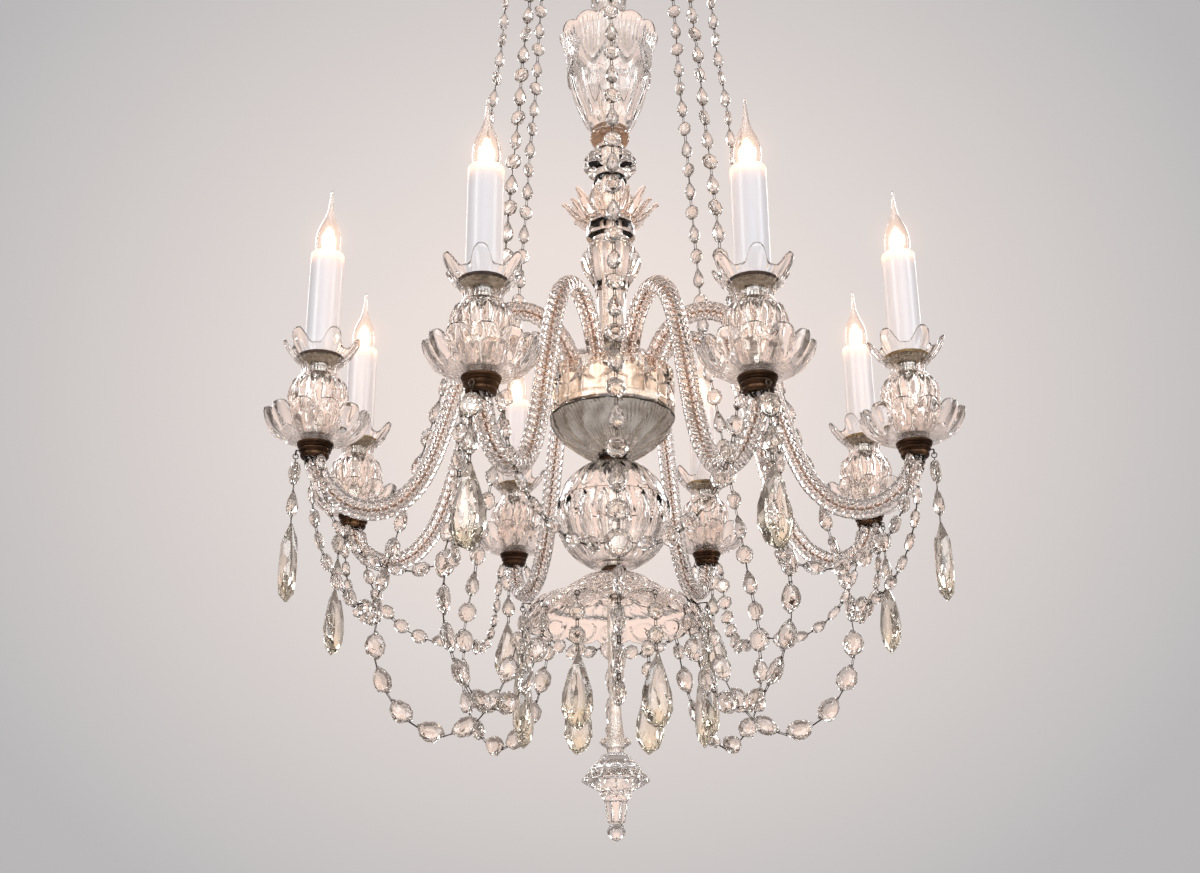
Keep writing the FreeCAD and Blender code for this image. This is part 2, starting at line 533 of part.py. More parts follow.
# ---------------------------------------------------------------- write
os.makedirs("parts", exist_ok=True)
for f in os.listdir("parts"):
    if f.endswith(".step"):
        os.remove(os.path.join("parts", f))
bad = []
for node, solids in nodes.items():
    for s in solids:
        if not s.isValid() or s.Volume <= 0:
            bad.append(node)
    shape = solids[0] if len(solids) == 1 else Part.makeCompound(solids)
    shape.exportStep("parts/%s.step" % node)
print("nodes", len(nodes), "solids", sum(len(s) for s in nodes.values()),
      "faces", sum(len(x.Faces) for s in nodes.values() for x in s), "bad", sorted(set(bad)))
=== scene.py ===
import json
import math

import bpy
import bmesh
import numpy as np
from mathutils import Matrix, Vector

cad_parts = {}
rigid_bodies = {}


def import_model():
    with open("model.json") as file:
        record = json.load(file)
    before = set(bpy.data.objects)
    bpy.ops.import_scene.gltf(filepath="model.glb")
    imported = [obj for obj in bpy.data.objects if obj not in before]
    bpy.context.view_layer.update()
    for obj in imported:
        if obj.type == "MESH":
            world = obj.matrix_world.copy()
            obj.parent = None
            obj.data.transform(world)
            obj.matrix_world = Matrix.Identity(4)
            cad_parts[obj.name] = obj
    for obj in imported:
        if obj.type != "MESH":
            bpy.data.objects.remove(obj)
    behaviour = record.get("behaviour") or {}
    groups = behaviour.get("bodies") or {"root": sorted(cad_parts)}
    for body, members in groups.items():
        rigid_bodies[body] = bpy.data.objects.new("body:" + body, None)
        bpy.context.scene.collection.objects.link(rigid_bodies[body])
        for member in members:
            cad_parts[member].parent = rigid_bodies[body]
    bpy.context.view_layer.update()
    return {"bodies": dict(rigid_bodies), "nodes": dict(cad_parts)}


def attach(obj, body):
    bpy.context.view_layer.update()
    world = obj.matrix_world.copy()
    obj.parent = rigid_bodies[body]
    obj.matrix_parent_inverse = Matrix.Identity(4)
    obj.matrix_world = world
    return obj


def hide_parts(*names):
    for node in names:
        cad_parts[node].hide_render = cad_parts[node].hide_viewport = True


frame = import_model()

# The looks of a crystal chandelier. Shapes are worked out in millimetres with
# z = 0 at the rims of the candle cups (H = that height above), and written in
# metres with the origin at the hanging eye. Azimuth 0 faces -Y, + towards +X.

MM = 0.001
TAU = 2.0 * math.pi
H = 800.0
REACH = 300.0
ARMS = {"a1": -21.86, "a2": 22.22, "b1": -66.95, "b2": 67.36,
        "c1": -112.45, "c2": 112.2, "d1": -157.86, "d2": 157.33}
NAMES = ["a1", "a2", "b2", "c2", "d2", "d1", "c1", "b1"]
STRING_AZ = [0.0, 45.0, 90.0, 135.0, 180.0, -135.0, -90.0, -45.0]
rng = np.random.default_rng(7)


# ------------------------------------------------------------------ mesh tools
class Geo:
    """vertices and faces of one piece, in millimetres, with a paint value per vertex:
    x = how finely cut the surface is, y = how much warm lamplight is painted into its colour, z = spare"""

    def __init__(self):
        self.v, self.f, self.c, self.n = [], [], [], 0

    def add(self, verts, faces, paint=None):
        verts = np.asarray(verts, float).reshape(-1, 3)
        self.v.append(verts)
        if paint is None:
            paint = np.zeros((len(verts), 3))
        self.c.append(np.broadcast_to(np.asarray(paint, float), (len(verts), 3)).copy())
        base = self.n
        for arr in faces:
            arr = np.asarray(arr)
            if arr.size:
                self.f.extend((arr + base).tolist())
        self.n += len(verts)

    def stamp(self, other, fn):
        """adds a copy of another Geo with its vertices moved by fn"""
        base = self.n
        verts = fn(np.concatenate(other.v))
        self.v.append(verts)
        self.c.append(np.concatenate(other.c))
        self.f.extend([[i + base for i in f] for f in other.f])
        self.n += len(verts)


def spin(v, az, reach=0.0):
    """moves points from the stem axis out to an arm: their -Y turns to azimuth az"""
    t = math.radians(az)
    x, y, z = v[:, 0], v[:, 1] - reach, v[:, 2]
    return np.stack([x * math.cos(t) - y * math.sin(t), x * math.sin(t) + y * math.cos(t), z], 1)


def direction(az):
    t = math.radians(az)
    return np.array([math.sin(t), -math.cos(t), 0.0])


def tangent(az):
    t = math.radians(az)
    return np.array([math.cos(t), math.sin(t), 0.0])


def at(r, az, z, off=0.0):
    return direction(az) * r + tangent(az) * off + np.array([0.0, 0.0, z])


def make(name, body, geo, mat, replaces=(), sharp=30.0, flat=False, orient=True):
    v = np.concatenate(geo.v) * MM
    v[:, 2] -= H * MM
    me = bpy.data.meshes.new(name)
    me.from_pydata(v.tolist(), [], geo.f)
    if orient:
        bm = bmesh.new()
        bm.from_mesh(me)
        bmesh.ops.recalc_face_normals(bm, faces=bm.faces)
        bm.to_mesh(me)
        bm.free()
    me.update()
    if flat:
        me.shade_flat()
    else:
        me.shade_smooth()
        me.set_sharp_from_angle(angle=math.radians(sharp))
    attr = me.attributes.new("paint", "FLOAT_VECTOR", "POINT")
    attr.data.foreach_set("vector", np.concatenate(geo.c).astype(np.float32).ravel())
    ob = bpy.data.objects.new(name, me)
    bpy.context.scene.collection.objects.link(ob)
    me.materials.append(mat)
    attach(ob, body)
    if replaces:
        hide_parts(*replaces)
    return ob


def run(pts, step=2.5, sharp=()):
    """points along a smooth line through pts; the line may turn sharply at the listed ones"""
    p = [np.array(q, float) for q in pts]
    n = len(p)
    corner = set(i % n for i in sharp) | {0, n - 1}

    def tan(j):
        if j in corner:
            return None
        a, b = p[j] - p[j - 1], p[j + 1] - p[j]
        da, db = np.linalg.norm(a), np.linalg.norm(b)
        t = a / da * db + b / db * da
        return t / np.linalg.norm(t)

    out = [p[0]]
    for i in range(n - 1):
        a, b = p[i], p[i + 1]
        d = np.linalg.norm(b - a)
        u = (b - a) / d
        ta, tb = tan(i), tan(i + 1)
        k = max(1, int(math.ceil(d / step)))
        if ta is None and tb is None:
            for s in range(1, k + 1):
                out.append(a + (b - a) * s / k)
            continue
        if ta is None:
            ta = 2 * u * np.dot(u, tb) - tb
        if tb is None:
            tb = 2 * u * np.dot(u, ta) - ta
        for s in range(1, k + 1):
            t = s / k
            h00, h10 = 2 * t ** 3 - 3 * t ** 2 + 1, t ** 3 - 2 * t ** 2 + t
            h01, h11 = -2 * t ** 3 + 3 * t ** 2, t ** 3 - t ** 2
            out.append(h00 * a + h10 * d * ta + h01 * b + h11 * d * tb)
    return np.array(out)


def arc_param(q):
    d = np.concatenate([[0.0], np.cumsum(np.linalg.norm(np.diff(q, axis=0), axis=1))])
    return d / d[-1]


def grid_faces(m, n, close_rows):
    """quads of an m x n grid that is closed along its second direction"""
    i = np.arange(m if close_rows else m - 1)[:, None]
    j = np.arange(n)[None, :]
    a = i * n + j
    b = i * n + (j + 1) % n
    c = ((i + 1) % m) * n + (j + 1) % n
    d = ((i + 1) % m) * n + j
    return np.stack([a, b, c, d], -1).reshape(-1, 4)


def polar(r, az, z):
    return np.stack([r * np.sin(az), -r * np.cos(az), z], -1)


def lathe(geo, outline, segs, mod=None, paint=None, turn=0.0):
    """turned solid from a closed (r, z) outline; where the outline starts and ends on
    the axis it is closed there. mod(r, az, z) gives new r and z"""
    q = np.asarray(outline, float)
    az = np.arange(segs) / segs * TAU + math.radians(turn)
    on_axis = q[0, 0] < 1e-6 and q[-1, 0] < 1e-6
    body = q[1:-1] if on_axis else q
    if not on_axis and np.linalg.norm(q[0] - q[-1]) < 1e-6:
        body = q[:-1]
    m = len(body)
    r = np.repeat(body[:, :1], segs, 1)
    z = np.repeat(body[:, 1:], segs, 1)
    a = np.repeat(az[None], m, 0)
    if mod:
        r, z = mod(r, a, z)
    v = polar(r, a, z).reshape(-1, 3)
    pa = np.zeros((len(v), 3)) if paint is None else np.stack([np.broadcast_to(x, r.shape).ravel() for x in paint(r, a, z)], 1)
    faces = [grid_faces(m, segs, not on_axis)]
    if on_axis:
        v = np.concatenate([v, [[0, 0, q[0, 1]], [0, 0, q[-1, 1]]]])
        pa = np.concatenate([pa, np.zeros((2, 3))])
        j = np.arange(segs)
        faces.append(np.stack([j, (j + 1) % segs, np.full(segs, m * segs)], 1))
        k = (m - 1) * segs
        faces.append(np.stack([k + j, k + (j + 1) % segs, np.full(segs, m * segs + 1)], 1))
    geo.add(v, faces, pa)


def shell(geo, outer, inner, segs, trim=None, mod=None, paint=None, turn=0.0, steps=(3.0, 4.0), lip=0.0,
          warp_from=0.0, sharp_out=(), sharp_in=()):
    """turned wall between two (r, z) runs from the middle out to the rim. trim(az) is how
    much of the length is kept at an azimuth, so it draws the petals of the rim"""
    sides = []
    az = np.arange(segs) / segs * TAU + math.radians(turn)
    keep = np.ones(segs) if trim is None else trim(az)
    for k, (pts, step) in enumerate(zip((outer, inner), steps)):
        q = run(pts, step, sharp_out if k == 0 else sharp_in)
        t = arc_param(q)
        s = t[:, None] * np.where(t[:, None] > 0, 1.0, 1.0)
        w = np.clip((t[:, None] - warp_from) / (1.0 - warp_from), 0, 1)
        s = t[:, None] - w * (1.0 - keep)[None]
        r = np.interp(s.ravel(), t, q[:, 0]).reshape(s.shape)
        z = np.interp(s.ravel(), t, q[:, 1]).reshape(s.shape)
        a = np.repeat(az[None], len(q), 0)
        tt = np.repeat(t[:, None], segs, 1)
        if mod:
            r, z = mod(r, a, z, tt, 1.0 if k == 0 else -1.0)
        sides.append((r, z, a, tt, np.full(r.shape, 1.0 if k == 0 else -1.0)))
    parts = [sides[0]]
    if lip:
        (ro, zo, ao, to, _), (ri, zi, ai, ti, _) = sides
        dr, dz = ro[-1] - ro[-2], zo[-1] - zo[-2]
        ln = np.sqrt(dr ** 2 + dz ** 2) + 1e-9
        parts.append(tuple(x[None] for x in ((ro[-1] + ri[-1]) / 2 + dr / ln * lip, (zo[-1] + zi[-1]) / 2 + dz / ln * lip,
                                             ao[-1], to[-1], np.zeros(segs))))
    parts.append(tuple(x[::-1] for x in sides[1]))
    r, z, a, t, side = (np.concatenate([p[i] for p in parts]) for i in range(5))
    v = polar(r, a, z).reshape(-1, 3)
    pa = None if paint is None else np.stack([np.broadcast_to(x, r.shape).ravel() for x in paint(r, a, z, t, side)], 1)
    geo.add(v, [grid_faces(len(r), segs, True)], pa)


def wave(az, n, phase=0.0):
    """distance from the middle of the nearest of n sectors, -0.5..0.5 of a sector"""
    u = az * n / TAU + phase
    return u - np.round(u)


def smooth(x, a, b):
    t = np.clip((x - a) / (b - a), 0, 1)
    return t * t * (3 - 2 * t)


def petal(u, roundness=1.0):
    return np.sqrt(np.maximum(0.0, 1.0 - (2 * np.abs(u)) ** 2 * roundness))


def lens(u, z, zc, half, width=0.42, depth=1.0):
    """a long pointed olive cut: 0 outside, depth in its middle"""
    e = (np.abs(z - zc) / half)
    w = width * np.sqrt(np.maximum(1e-4, 1 - e ** 2))
    return depth * np.maximum(0.0, 1 - (u / w) ** 2) * (e < 1)


# ------------------------------------------------------------------ materials
def node(nt, kind, **inputs):
    n = nt.nodes.new(kind)
    for k, val in inputs.items():
        n.inputs[k.replace("_", " ")].default_value = val
    return n


def link(nt, a, b):
    nt.links.new(a, b)


def new_material(name):
    m = bpy.data.materials.new(name)
    m.use_nodes = True
    nt = m.node_tree
    nt.nodes.clear()
    out = nt.nodes.new("ShaderNodeOutputMaterial")
    return m, nt, out


def ramp(nt, fac, stops):
    r = nt.nodes.new("ShaderNodeValToRGB")
    link(nt, fac, r.inputs["Fac"])
    el = r.color_ramp.elements
    el[0].position, el[0].color = stops[0][0], (*stops[0][1], 1)
    el[1].position, el[1].color = stops[-1][0], (*stops[-1][1], 1)
    for p, c in stops[1:-1]:
        e = el.new(p)
        e.color = (*c, 1)
    return r


# clear glass whose colour has warm lamplight painted into it in places
def glass(name, tint=(0.992, 0.988, 0.985), lamplight_tint=(1.0, 0.885, 0.81), ior=1.5, rough=0.0, wobble=0.05, wobble_scale=90.0,
          fine=0.0, painted_lamplight=0.25, see=0.94):
    m, nt, out = new_material(name)
    b = node(nt, "ShaderNodeBsdfPrincipled")
    b.inputs["Transmission Weight"].default_value = 1.0
    b.inputs["IOR"].default_value = ior
    co = nt.nodes.new("ShaderNodeTexCoord")
    at_ = nt.nodes.new("ShaderNodeAttribute")
    at_.attribute_name = "paint"
    sep = nt.nodes.new("ShaderNodeSeparateXYZ")
    link(nt, at_.outputs["Vector"], sep.inputs[0])
    # colour: clear, with warm lamplight painted in: noise patches, plus the amount painted per vertex, mix in a warm
    # tint that stands in for the lamps' glow
    n1 = node(nt, "ShaderNodeTexNoise", Scale=38.0, Detail=2.0)
    link(nt, co.outputs["Object"], n1.inputs["Vector"])
    r1 = ramp(nt, n1.outputs["Fac"], [(0.42, (0, 0, 0)), (0.66, (1, 1, 1))])
    mul = nt.nodes.new("ShaderNodeMath")
    mul.operation = "MULTIPLY_ADD"
    link(nt, r1.outputs["Color"], mul.inputs[0])
    mul.inputs[1].default_value = painted_lamplight
    link(nt, sep.outputs["Y"], mul.inputs[2])
    mix = nt.nodes.new("ShaderNodeMix")
    mix.data_type = "RGBA"
    mix.inputs["A"].default_value = (*tint, 1)
    mix.inputs["B"].default_value = (*lamplight_tint, 1)
    link(nt, mul.outputs[0], mix.inputs["Factor"])
    link(nt, mix.outputs["Result"], b.inputs["Base Color"])
    # surface: the slow waviness of old pressed glass, and the fine cutting where it is painted
    n2 = node(nt, "ShaderNodeTexNoise", Scale=wobble_scale, Detail=1.5)
    link(nt, co.outputs["Object"], n2.inputs["Vector"])
    bump = node(nt, "ShaderNodeBump", Strength=wobble, Distance=0.004)
    link(nt, n2.outputs["Fac"], bump.inputs["Height"])
    last = bump
    if fine:
        vo = node(nt, "ShaderNodeTexNoise", Scale=420.0, Detail=1.0)
        link(nt, co.outputs["Object"], vo.inputs["Vector"])
        mm = nt.nodes.new("ShaderNodeMath")
        mm.operation = "MULTIPLY"
        link(nt, vo.outputs["Fac"], mm.inputs[0])
        link(nt, sep.outputs["X"], mm.inputs[1])
        b2 = node(nt, "ShaderNodeBump", Strength=fine, Distance=0.0016)
        link(nt, mm.outputs[0], b2.inputs["Height"])
        link(nt, bump.outputs["Normal"], b2.inputs["Normal"])
        last = b2
    link(nt, last.outputs["Normal"], b.inputs["Normal"])
    rr = nt.nodes.new("ShaderNodeMath")
    rr.operation = "MULTIPLY_ADD"
    link(nt, sep.outputs["X"], rr.inputs[0])
    rr.inputs[1].default_value = 0.10
    rr.inputs[2].default_value = rough
    link(nt, rr.outputs[0], b.inputs["Roughness"])
    lp = nt.nodes.new("ShaderNodeLightPath")
    tr = nt.nodes.new("ShaderNodeBsdfTransparent")
    tr.inputs["Color"].default_value = (see, see * 0.995, see * 0.985, 1)
    mx = nt.nodes.new("ShaderNodeMixShader")
    link(nt, lp.outputs["Is Shadow Ray"], mx.inputs["Fac"])
    link(nt, b.outputs[0], mx.inputs[1])
    link(nt, tr.outputs[0], mx.inputs[2])
    link(nt, mx.outputs[0], out.inputs["Surface"])
    return m


def metal(name, base, dark, rough=(0.25, 0.5), scale=60.0, metallic=1.0, bump=0.15, wear=(0.0, 0.0, 0.0), wear_amount=0.0,
          spec=0.5):
    m, nt, out = new_material(name)
    b = node(nt, "ShaderNodeBsdfPrincipled", Metallic=metallic)
    b.inputs["Specular IOR Level"].default_value = spec
    co = nt.nodes.new("ShaderNodeTexCoord")
    n1 = node(nt, "ShaderNodeTexNoise", Scale=scale, Detail=6.0, Roughness=0.62)
    link(nt, co.outputs["Object"], n1.inputs["Vector"])
    stops = [(0.36, dark), (0.62, base)]
    if wear_amount:
        stops.append((0.62 + (1 - wear_amount) * 0.25, wear))
    r1 = ramp(nt, n1.outputs["Fac"], stops)
    link(nt, r1.outputs["Color"], b.inputs["Base Color"])
    n2 = node(nt, "ShaderNodeTexNoise", Scale=scale * 5, Detail=3.0)
    link(nt, co.outputs["Object"], n2.inputs["Vector"])
    mr = nt.nodes.new("ShaderNodeMapRange")
    link(nt, n2.outputs["Fac"], mr.inputs["Value"])
    mr.inputs["From Min"].default_value, mr.inputs["From Max"].default_value = 0.3, 0.7
    mr.inputs["To Min"].default_value, mr.inputs["To Max"].default_value = rough
    link(nt, mr.outputs["Result"], b.inputs["Roughness"])
    bp = node(nt, "ShaderNodeBump", Strength=bump, Distance=0.0008)
    link(nt, n2.outputs["Fac"], bp.inputs["Height"])
    link(nt, bp.outputs["Normal"], b.inputs["Normal"])
    link(nt, b.outputs[0], out.inputs["Surface"])
    return m


def sleeve_material():
    """pearl white candle tube; the glow at its top, where the lamp lights it from inside, is painted emission"""
    m, nt, out = new_material("pearl_sleeve")
    b = node(nt, "ShaderNodeBsdfPrincipled", Roughness=0.34)
    b.inputs["Specular IOR Level"].default_value = 0.5
    b.inputs["Coat Weight"].default_value = 0.25
    b.inputs["Coat Roughness"].default_value = 0.12
    co = nt.nodes.new("ShaderNodeTexCoord")
    mp = node(nt, "ShaderNodeMapping")
    mp.inputs["Scale"].default_value = (70, 70, 6)
    link(nt, co.outputs["Object"], mp.inputs["Vector"])
    n1 = node(nt, "ShaderNodeTexNoise", Scale=1.0, Detail=3.0)
    link(nt, mp.outputs[0], n1.inputs["Vector"])
    r1 = ramp(nt, n1.outputs["Fac"], [(0.3, (0.84, 0.84, 0.885)), (0.7, (0.90, 0.895, 0.91))])
    link(nt, r1.outputs["Color"], b.inputs["Base Color"])
    bp = node(nt, "ShaderNodeBump", Strength=0.12, Distance=0.001)
    link(nt, n1.outputs["Fac"], bp.inputs["Height"])
    link(nt, bp.outputs["Normal"], b.inputs["Normal"])
    # painted glow: emission that rises towards the top of the tube and stands in for the lamp's light
    sp = nt.nodes.new("ShaderNodeSeparateXYZ")
    link(nt, co.outputs["Object"], sp.inputs[0])
    mr = nt.nodes.new("ShaderNodeMapRange")
    mr.interpolation_type = "SMOOTHERSTEP"
    link(nt, sp.outputs["Z"], mr.inputs["Value"])
    mr.inputs["From Min"].default_value, mr.inputs["From Max"].default_value = (166 - H) * MM, (193 - H) * MM
    mr.inputs["To Min"].default_value, mr.inputs["To Max"].default_value = 0.0, 1.0
    r2 = ramp(nt, mr.outputs["Result"], [(0.0, (0, 0, 0)), (0.45, (0.05, 0.02, 0.01)), (0.80, (0.30, 0.13, 0.05)), (1.0, (0.85, 0.50, 0.24))])
    link(nt, r2.outputs["Color"], b.inputs["Emission Color"])
    b.inputs["Emission Strength"].default_value = 1.0
    link(nt, b.outputs[0], out.inputs["Surface"])
    return m


def flame_material():
    m, nt, out = new_material("lamp_core")
    co = nt.nodes.new("ShaderNodeTexCoord")
    sp = nt.nodes.new("ShaderNodeSeparateXYZ")
    link(nt, co.outputs["Object"], sp.inputs[0])
    mr = nt.nodes.new("ShaderNodeMapRange")
    link(nt, sp.outputs["Z"], mr.inputs["Value"])
    mr.inputs["From Min"].default_value, mr.inputs["From Max"].default_value = (196 - H) * MM, (228 - H) * MM
    r = ramp(nt, mr.outputs["Result"], [(0.0, (1.0, 0.50, 0.24)), (0.3, (1.0, 0.80, 0.56)), (0.65, (1.0, 0.72, 0.45)), (1.0, (1.0, 0.42, 0.20))])
    b = node(nt, "ShaderNodeBsdfPrincipled", Roughness=0.5)
    link(nt, r.outputs["Color"], b.inputs["Base Color"])
    link(nt, r.outputs["Color"], b.inputs["Emission Color"])
    b.inputs["Emission Strength"].default_value = 15.0
    link(nt, b.outputs[0], out.inputs["Surface"])
    return m


M_CLEAR = glass("clear_glass", ior=1.5, wobble=0.035, fine=0.5, rough=0.0)
M_CUT = glass("cut_glass", tint=(0.99, 0.98, 0.972), ior=1.53, wobble=0.03, fine=0.5, painted_lamplight=0.4, rough=0.0)
M_ARM = glass("arm_glass", tint=(0.998, 0.985, 0.975), lamplight_tint=(1.0, 0.89, 0.82), ior=1.41, wobble=0.0, painted_lamplight=0.35)
M_BEAD = glass("crystal", tint=(0.935, 0.91, 0.885), lamplight_tint=(0.94, 0.84, 0.75), ior=1.56, wobble=0.0, painted_lamplight=0.45)
M_DROP = glass("crystal_drop", tint=(0.905, 0.875, 0.83), lamplight_tint=(0.90, 0.85, 0.66), ior=1.56, wobble=0.0, painted_lamplight=0.15)
M_BULB = glass("bulb_glass", tint=(0.995, 0.985, 0.975), ior=1.45, wobble=0.02, painted_lamplight=0.0, see=0.98)
M_BRASS = metal("brass", (0.60, 0.40, 0.17), (0.30, 0.18, 0.07), (0.22, 0.42), wear=(0.85, 0.66, 0.36), wear_amount=0.6)
M_BRONZE = metal("dark_bronze", (0.115, 0.062, 0.036), (0.035, 0.020, 0.013), (0.28, 0.55), wear=(0.42, 0.24, 0.12), wear_amount=0.35)
M_STEEL = metal("plated_steel", (0.62, 0.60, 0.57), (0.42, 0.40, 0.37), (0.16, 0.34))
M_DOME = metal("plated_dome", (0.90, 0.87, 0.83), (0.66, 0.60, 0.54), (0.08, 0.2), bump=0.3)
M_PIN = metal("pin_wire", (0.16, 0.135, 0.11), (0.05, 0.042, 0.036), (0.25, 0.5), scale=300.0)
M_WIRE = metal("lamp_wire", (0.30, 0.165, 0.10), (0.15, 0.08, 0.05), (0.35, 0.6), scale=160.0, metallic=0.0)
M_SLEEVE = sleeve_material()
M_FLAME = flame_material()


# ------------------------------------------------------------------ beads
def facet_rings(rings, caps=True):
    """closed faceted solid from rings of equal count; neighbouring rings that are turned
    by half a step are joined by triangles"""
    n = len(rings[0])
    v = np.concatenate(rings)
    faces3, faces4, capf = [], [], []
    for k in range(len(rings) - 1):
        a0, b0 = k * n, (k + 1) * n
        for i in range(n):
            j = (i + 1) % n
            faces3.append((a0 + i, a0 + j, b0 + i))
            faces3.append((a0 + j, b0 + j, b0 + i))
    capf.append(tuple(range(n))[::-1])
    capf.append(tuple((len(rings) - 1) * n + i for i in range(n)))
    return v, [np.array(faces3), np.array(capf)]


def gem_ring(n, a, b, h, turn):
    t = (np.arange(n) + turn) / n * TAU
    return np.stack([a * np.cos(t), b * np.sin(t), np.full(n, h)], 1)


def octagon_bead():
    """unit button, across 1 by 1 by 1: flat face, star and bezel facets, thin edge"""
    # the outer ring has its corners at 22.5 degrees, as the outline has
    rings = [gem_ring(8, 0.27, 0.27, -0.5, 0.5), gem_ring(8, 0.455, 0.455, -0.38, 0.0), gem_ring(8, 0.532, 0.532, -0.10, -0.5),
             gem_ring(8, 0.532, 0.532, 0.10, -0.5), gem_ring(8, 0.455, 0.455, 0.38, -1.0), gem_ring(8, 0.27, 0.27, 0.5, -1.5)]
    return facet_rings(rings)


def rings_along(stations, n, half=True):
    """bead whose rings stand across its axis (local X): stations = (s, width, thick)"""
    rings = []
    for k, (s, w, t) in enumerate(stations):
        a = (np.arange(n) + (0.5 * k if half else 0.0)) / n * TAU
        rings.append(np.stack([np.full(n, s), 0.5 * w * np.sin(a), 0.5 * t * np.cos(a)], 1))
    return facet_rings(rings)


PEAR = [(0.0, 0.10), (0.08, 0.22), (0.20, 0.43), (0.34, 0.68), (0.48, 0.88), (0.62, 1.0), (0.75, 0.97), (0.87, 0.76), (0.95, 0.46), (1.0, 0.12)]
ALMOND = [(0.0, 0.16), (0.08, 0.42), (0.20, 0.68), (0.34, 0.89), (0.50, 1.0), (0.66, 0.98), (0.80, 0.83), (0.92, 0.54), (1.0, 0.24)]


def pendeloque(outline, s, edge=0.09, table=(0.80, 0.50), mid_k=(0.92, 0.80), mid_h=0.34, centre=0.06):
    """flat pear-shaped drop, unit size, narrow at -X: pointed outline, edge facets that
    slope to a long kite-shaped face on both sides"""
    s = np.array(s)
    w = np.interp(s, [p[0] for p in outline], [p[1] for p in outline]) * 0.5
    top = np.stack([s - 0.5, w], 1)
    low = np.stack([s[1:-1][::-1] - 0.5, -w[1:-1][::-1]], 1)
    out = np.concatenate([top, low])
    n = len(out)
    mid = (out + np.roll(out, -1, 0)) / 2
    c = np.array([centre, 0.0])
    rings = []
    for h, k, pts in ((-0.5, table, out), (-mid_h, mid_k, mid), (-0.5 * edge, (1.0, 1.0), out),
                      (0.5 * edge, (1.0, 1.0), out), (mid_h, mid_k, mid), (0.5, table, out)):
        q = c + (pts - c) * np.array(k)
        rings.append(np.concatenate([q, np.full((n, 1), h)], 1))
    return facet_rings(rings)


UNIT = {
    "oct": octagon_bead(),
    "oval": rings_along([(-0.5, 0.22, 0.22), (-0.36, 0.62, 0.62), (-0.12, 0.94, 0.94), (0.10, 1.0, 1.0), (0.32, 0.74, 0.74), (0.5, 0.22, 0.22)], 8),
    "prism": rings_along([(-0.5, 0.36, 0.36), (-0.36, 0.84, 0.84), (-0.1, 1.0, 1.0), (0.1, 1.0, 1.0), (0.36, 0.84, 0.84), (0.5, 0.36, 0.36)], 6),
    "pear": rings_along([(-0.5, 0.12, 0.14), (-0.33, 0.42, 0.46), (-0.10, 0.80, 0.82), (0.14, 1.0, 1.0), (0.36, 0.80, 0.80), (0.5, 0.24, 0.26)], 8),
    "tear": rings_along([(-0.5, 0.20, 0.20), (-0.36, 0.46, 0.46), (-0.14, 0.80, 0.80), (0.10, 1.0, 1.0), (0.30, 0.90, 0.90), (0.44, 0.58, 0.58), (0.5, 0.34, 0.34)], 8),
    "drop": pendeloque(PEAR, [0.0, 0.26, 0.52, 0.74, 0.92, 1.0], table=(0.50, 0.26), mid_k=(0.86, 0.70), mid_h=0.40, edge=0.12),
    "almond": pendeloque(ALMOND, [0.0, 0.22, 0.50, 0.78, 1.0], table=(0.44, 0.34), mid_k=(0.86, 0.82), mid_h=0.38, edge=0.16, centre=0.02),
}


def frame_axes(axis, normal):
    a = np.asarray(axis, float)
    a = a / np.linalg.norm(a)
    n = normal - a * np.dot(normal, a)
    n = n / np.linalg.norm(n)
    return a, n, np.cross(n, a)


def put_bead(geo, kind, c, axis, normal, length, width, thick, lamplight_tint=0.0):
    v, faces = UNIT[kind]
    a, n, b = frame_axes(axis, normal)
    if kind == "oct":
        length = width = max(length, width) * 0.98
    p = c + v[:, :1] * length * a + v[:, 1:2] * width * b + v[:, 2:] * thick * n
    paint = np.zeros((len(v), 3))
    # painted warm lamplight; on the big drops it grows towards their lower end
    paint[:, 1] = lamplight_tint + (0.9 * smooth(v[:, 0], 0.05, 0.45) if kind == "drop" else 0.0)
    geo.add(p, faces, paint)


def tube(geo, pts, r, n=6, close=False, paint=None):
    """round wire along points"""
    p = np.asarray(pts, float)
    m = len(p)
    if close:
        t = np.roll(p, -1, 0) - np.roll(p, 1, 0)
    else:
        t = np.gradient(p, axis=0)
    t = t / np.linalg.norm(t, axis=1)[:, None]
    up = np.array([0, 0, 1.0]) if abs(t[0, 2]) < 0.9 else np.array([1.0, 0, 0])
    u = np.cross(t[0], up)
    u /= np.linalg.norm(u)
    us = []
    for k in range(m):
        u = u - t[k] * np.dot(u, t[k])
        u = u / np.linalg.norm(u)
        us.append(u)
    us = np.array(us)
    w = np.cross(t, us)
    ang = np.arange(n) / n * TAU
    rr = np.broadcast_to(np.asarray(r, float), (m,))
    v = p[:, None] + rr[:, None, None] * (np.cos(ang)[None, :, None] * us[:, None] + np.sin(ang)[None, :, None] * w[:, None])
    faces = [grid_faces(m, n, close)]
    if not close:
        faces.append(np.array([list(range(n))[::-1], [(m - 1) * n + i for i in range(n)]]))
    geo.add(v.reshape(-1, 3), faces, paint)


def ring_wire(geo, c, axis, big, small, n=12, m=5):
    a, u, w = frame_axes(axis, np.array([0.3, 0.2, 1.0]) if abs(axis[2]) < 0.9 else np.array([1.0, 0.1, 0.0]))
    t = np.arange(n) / n * TAU
    tube(geo, c + big * (np.cos(t)[:, None] * u + np.sin(t)[:, None] * w), small, m, close=True)


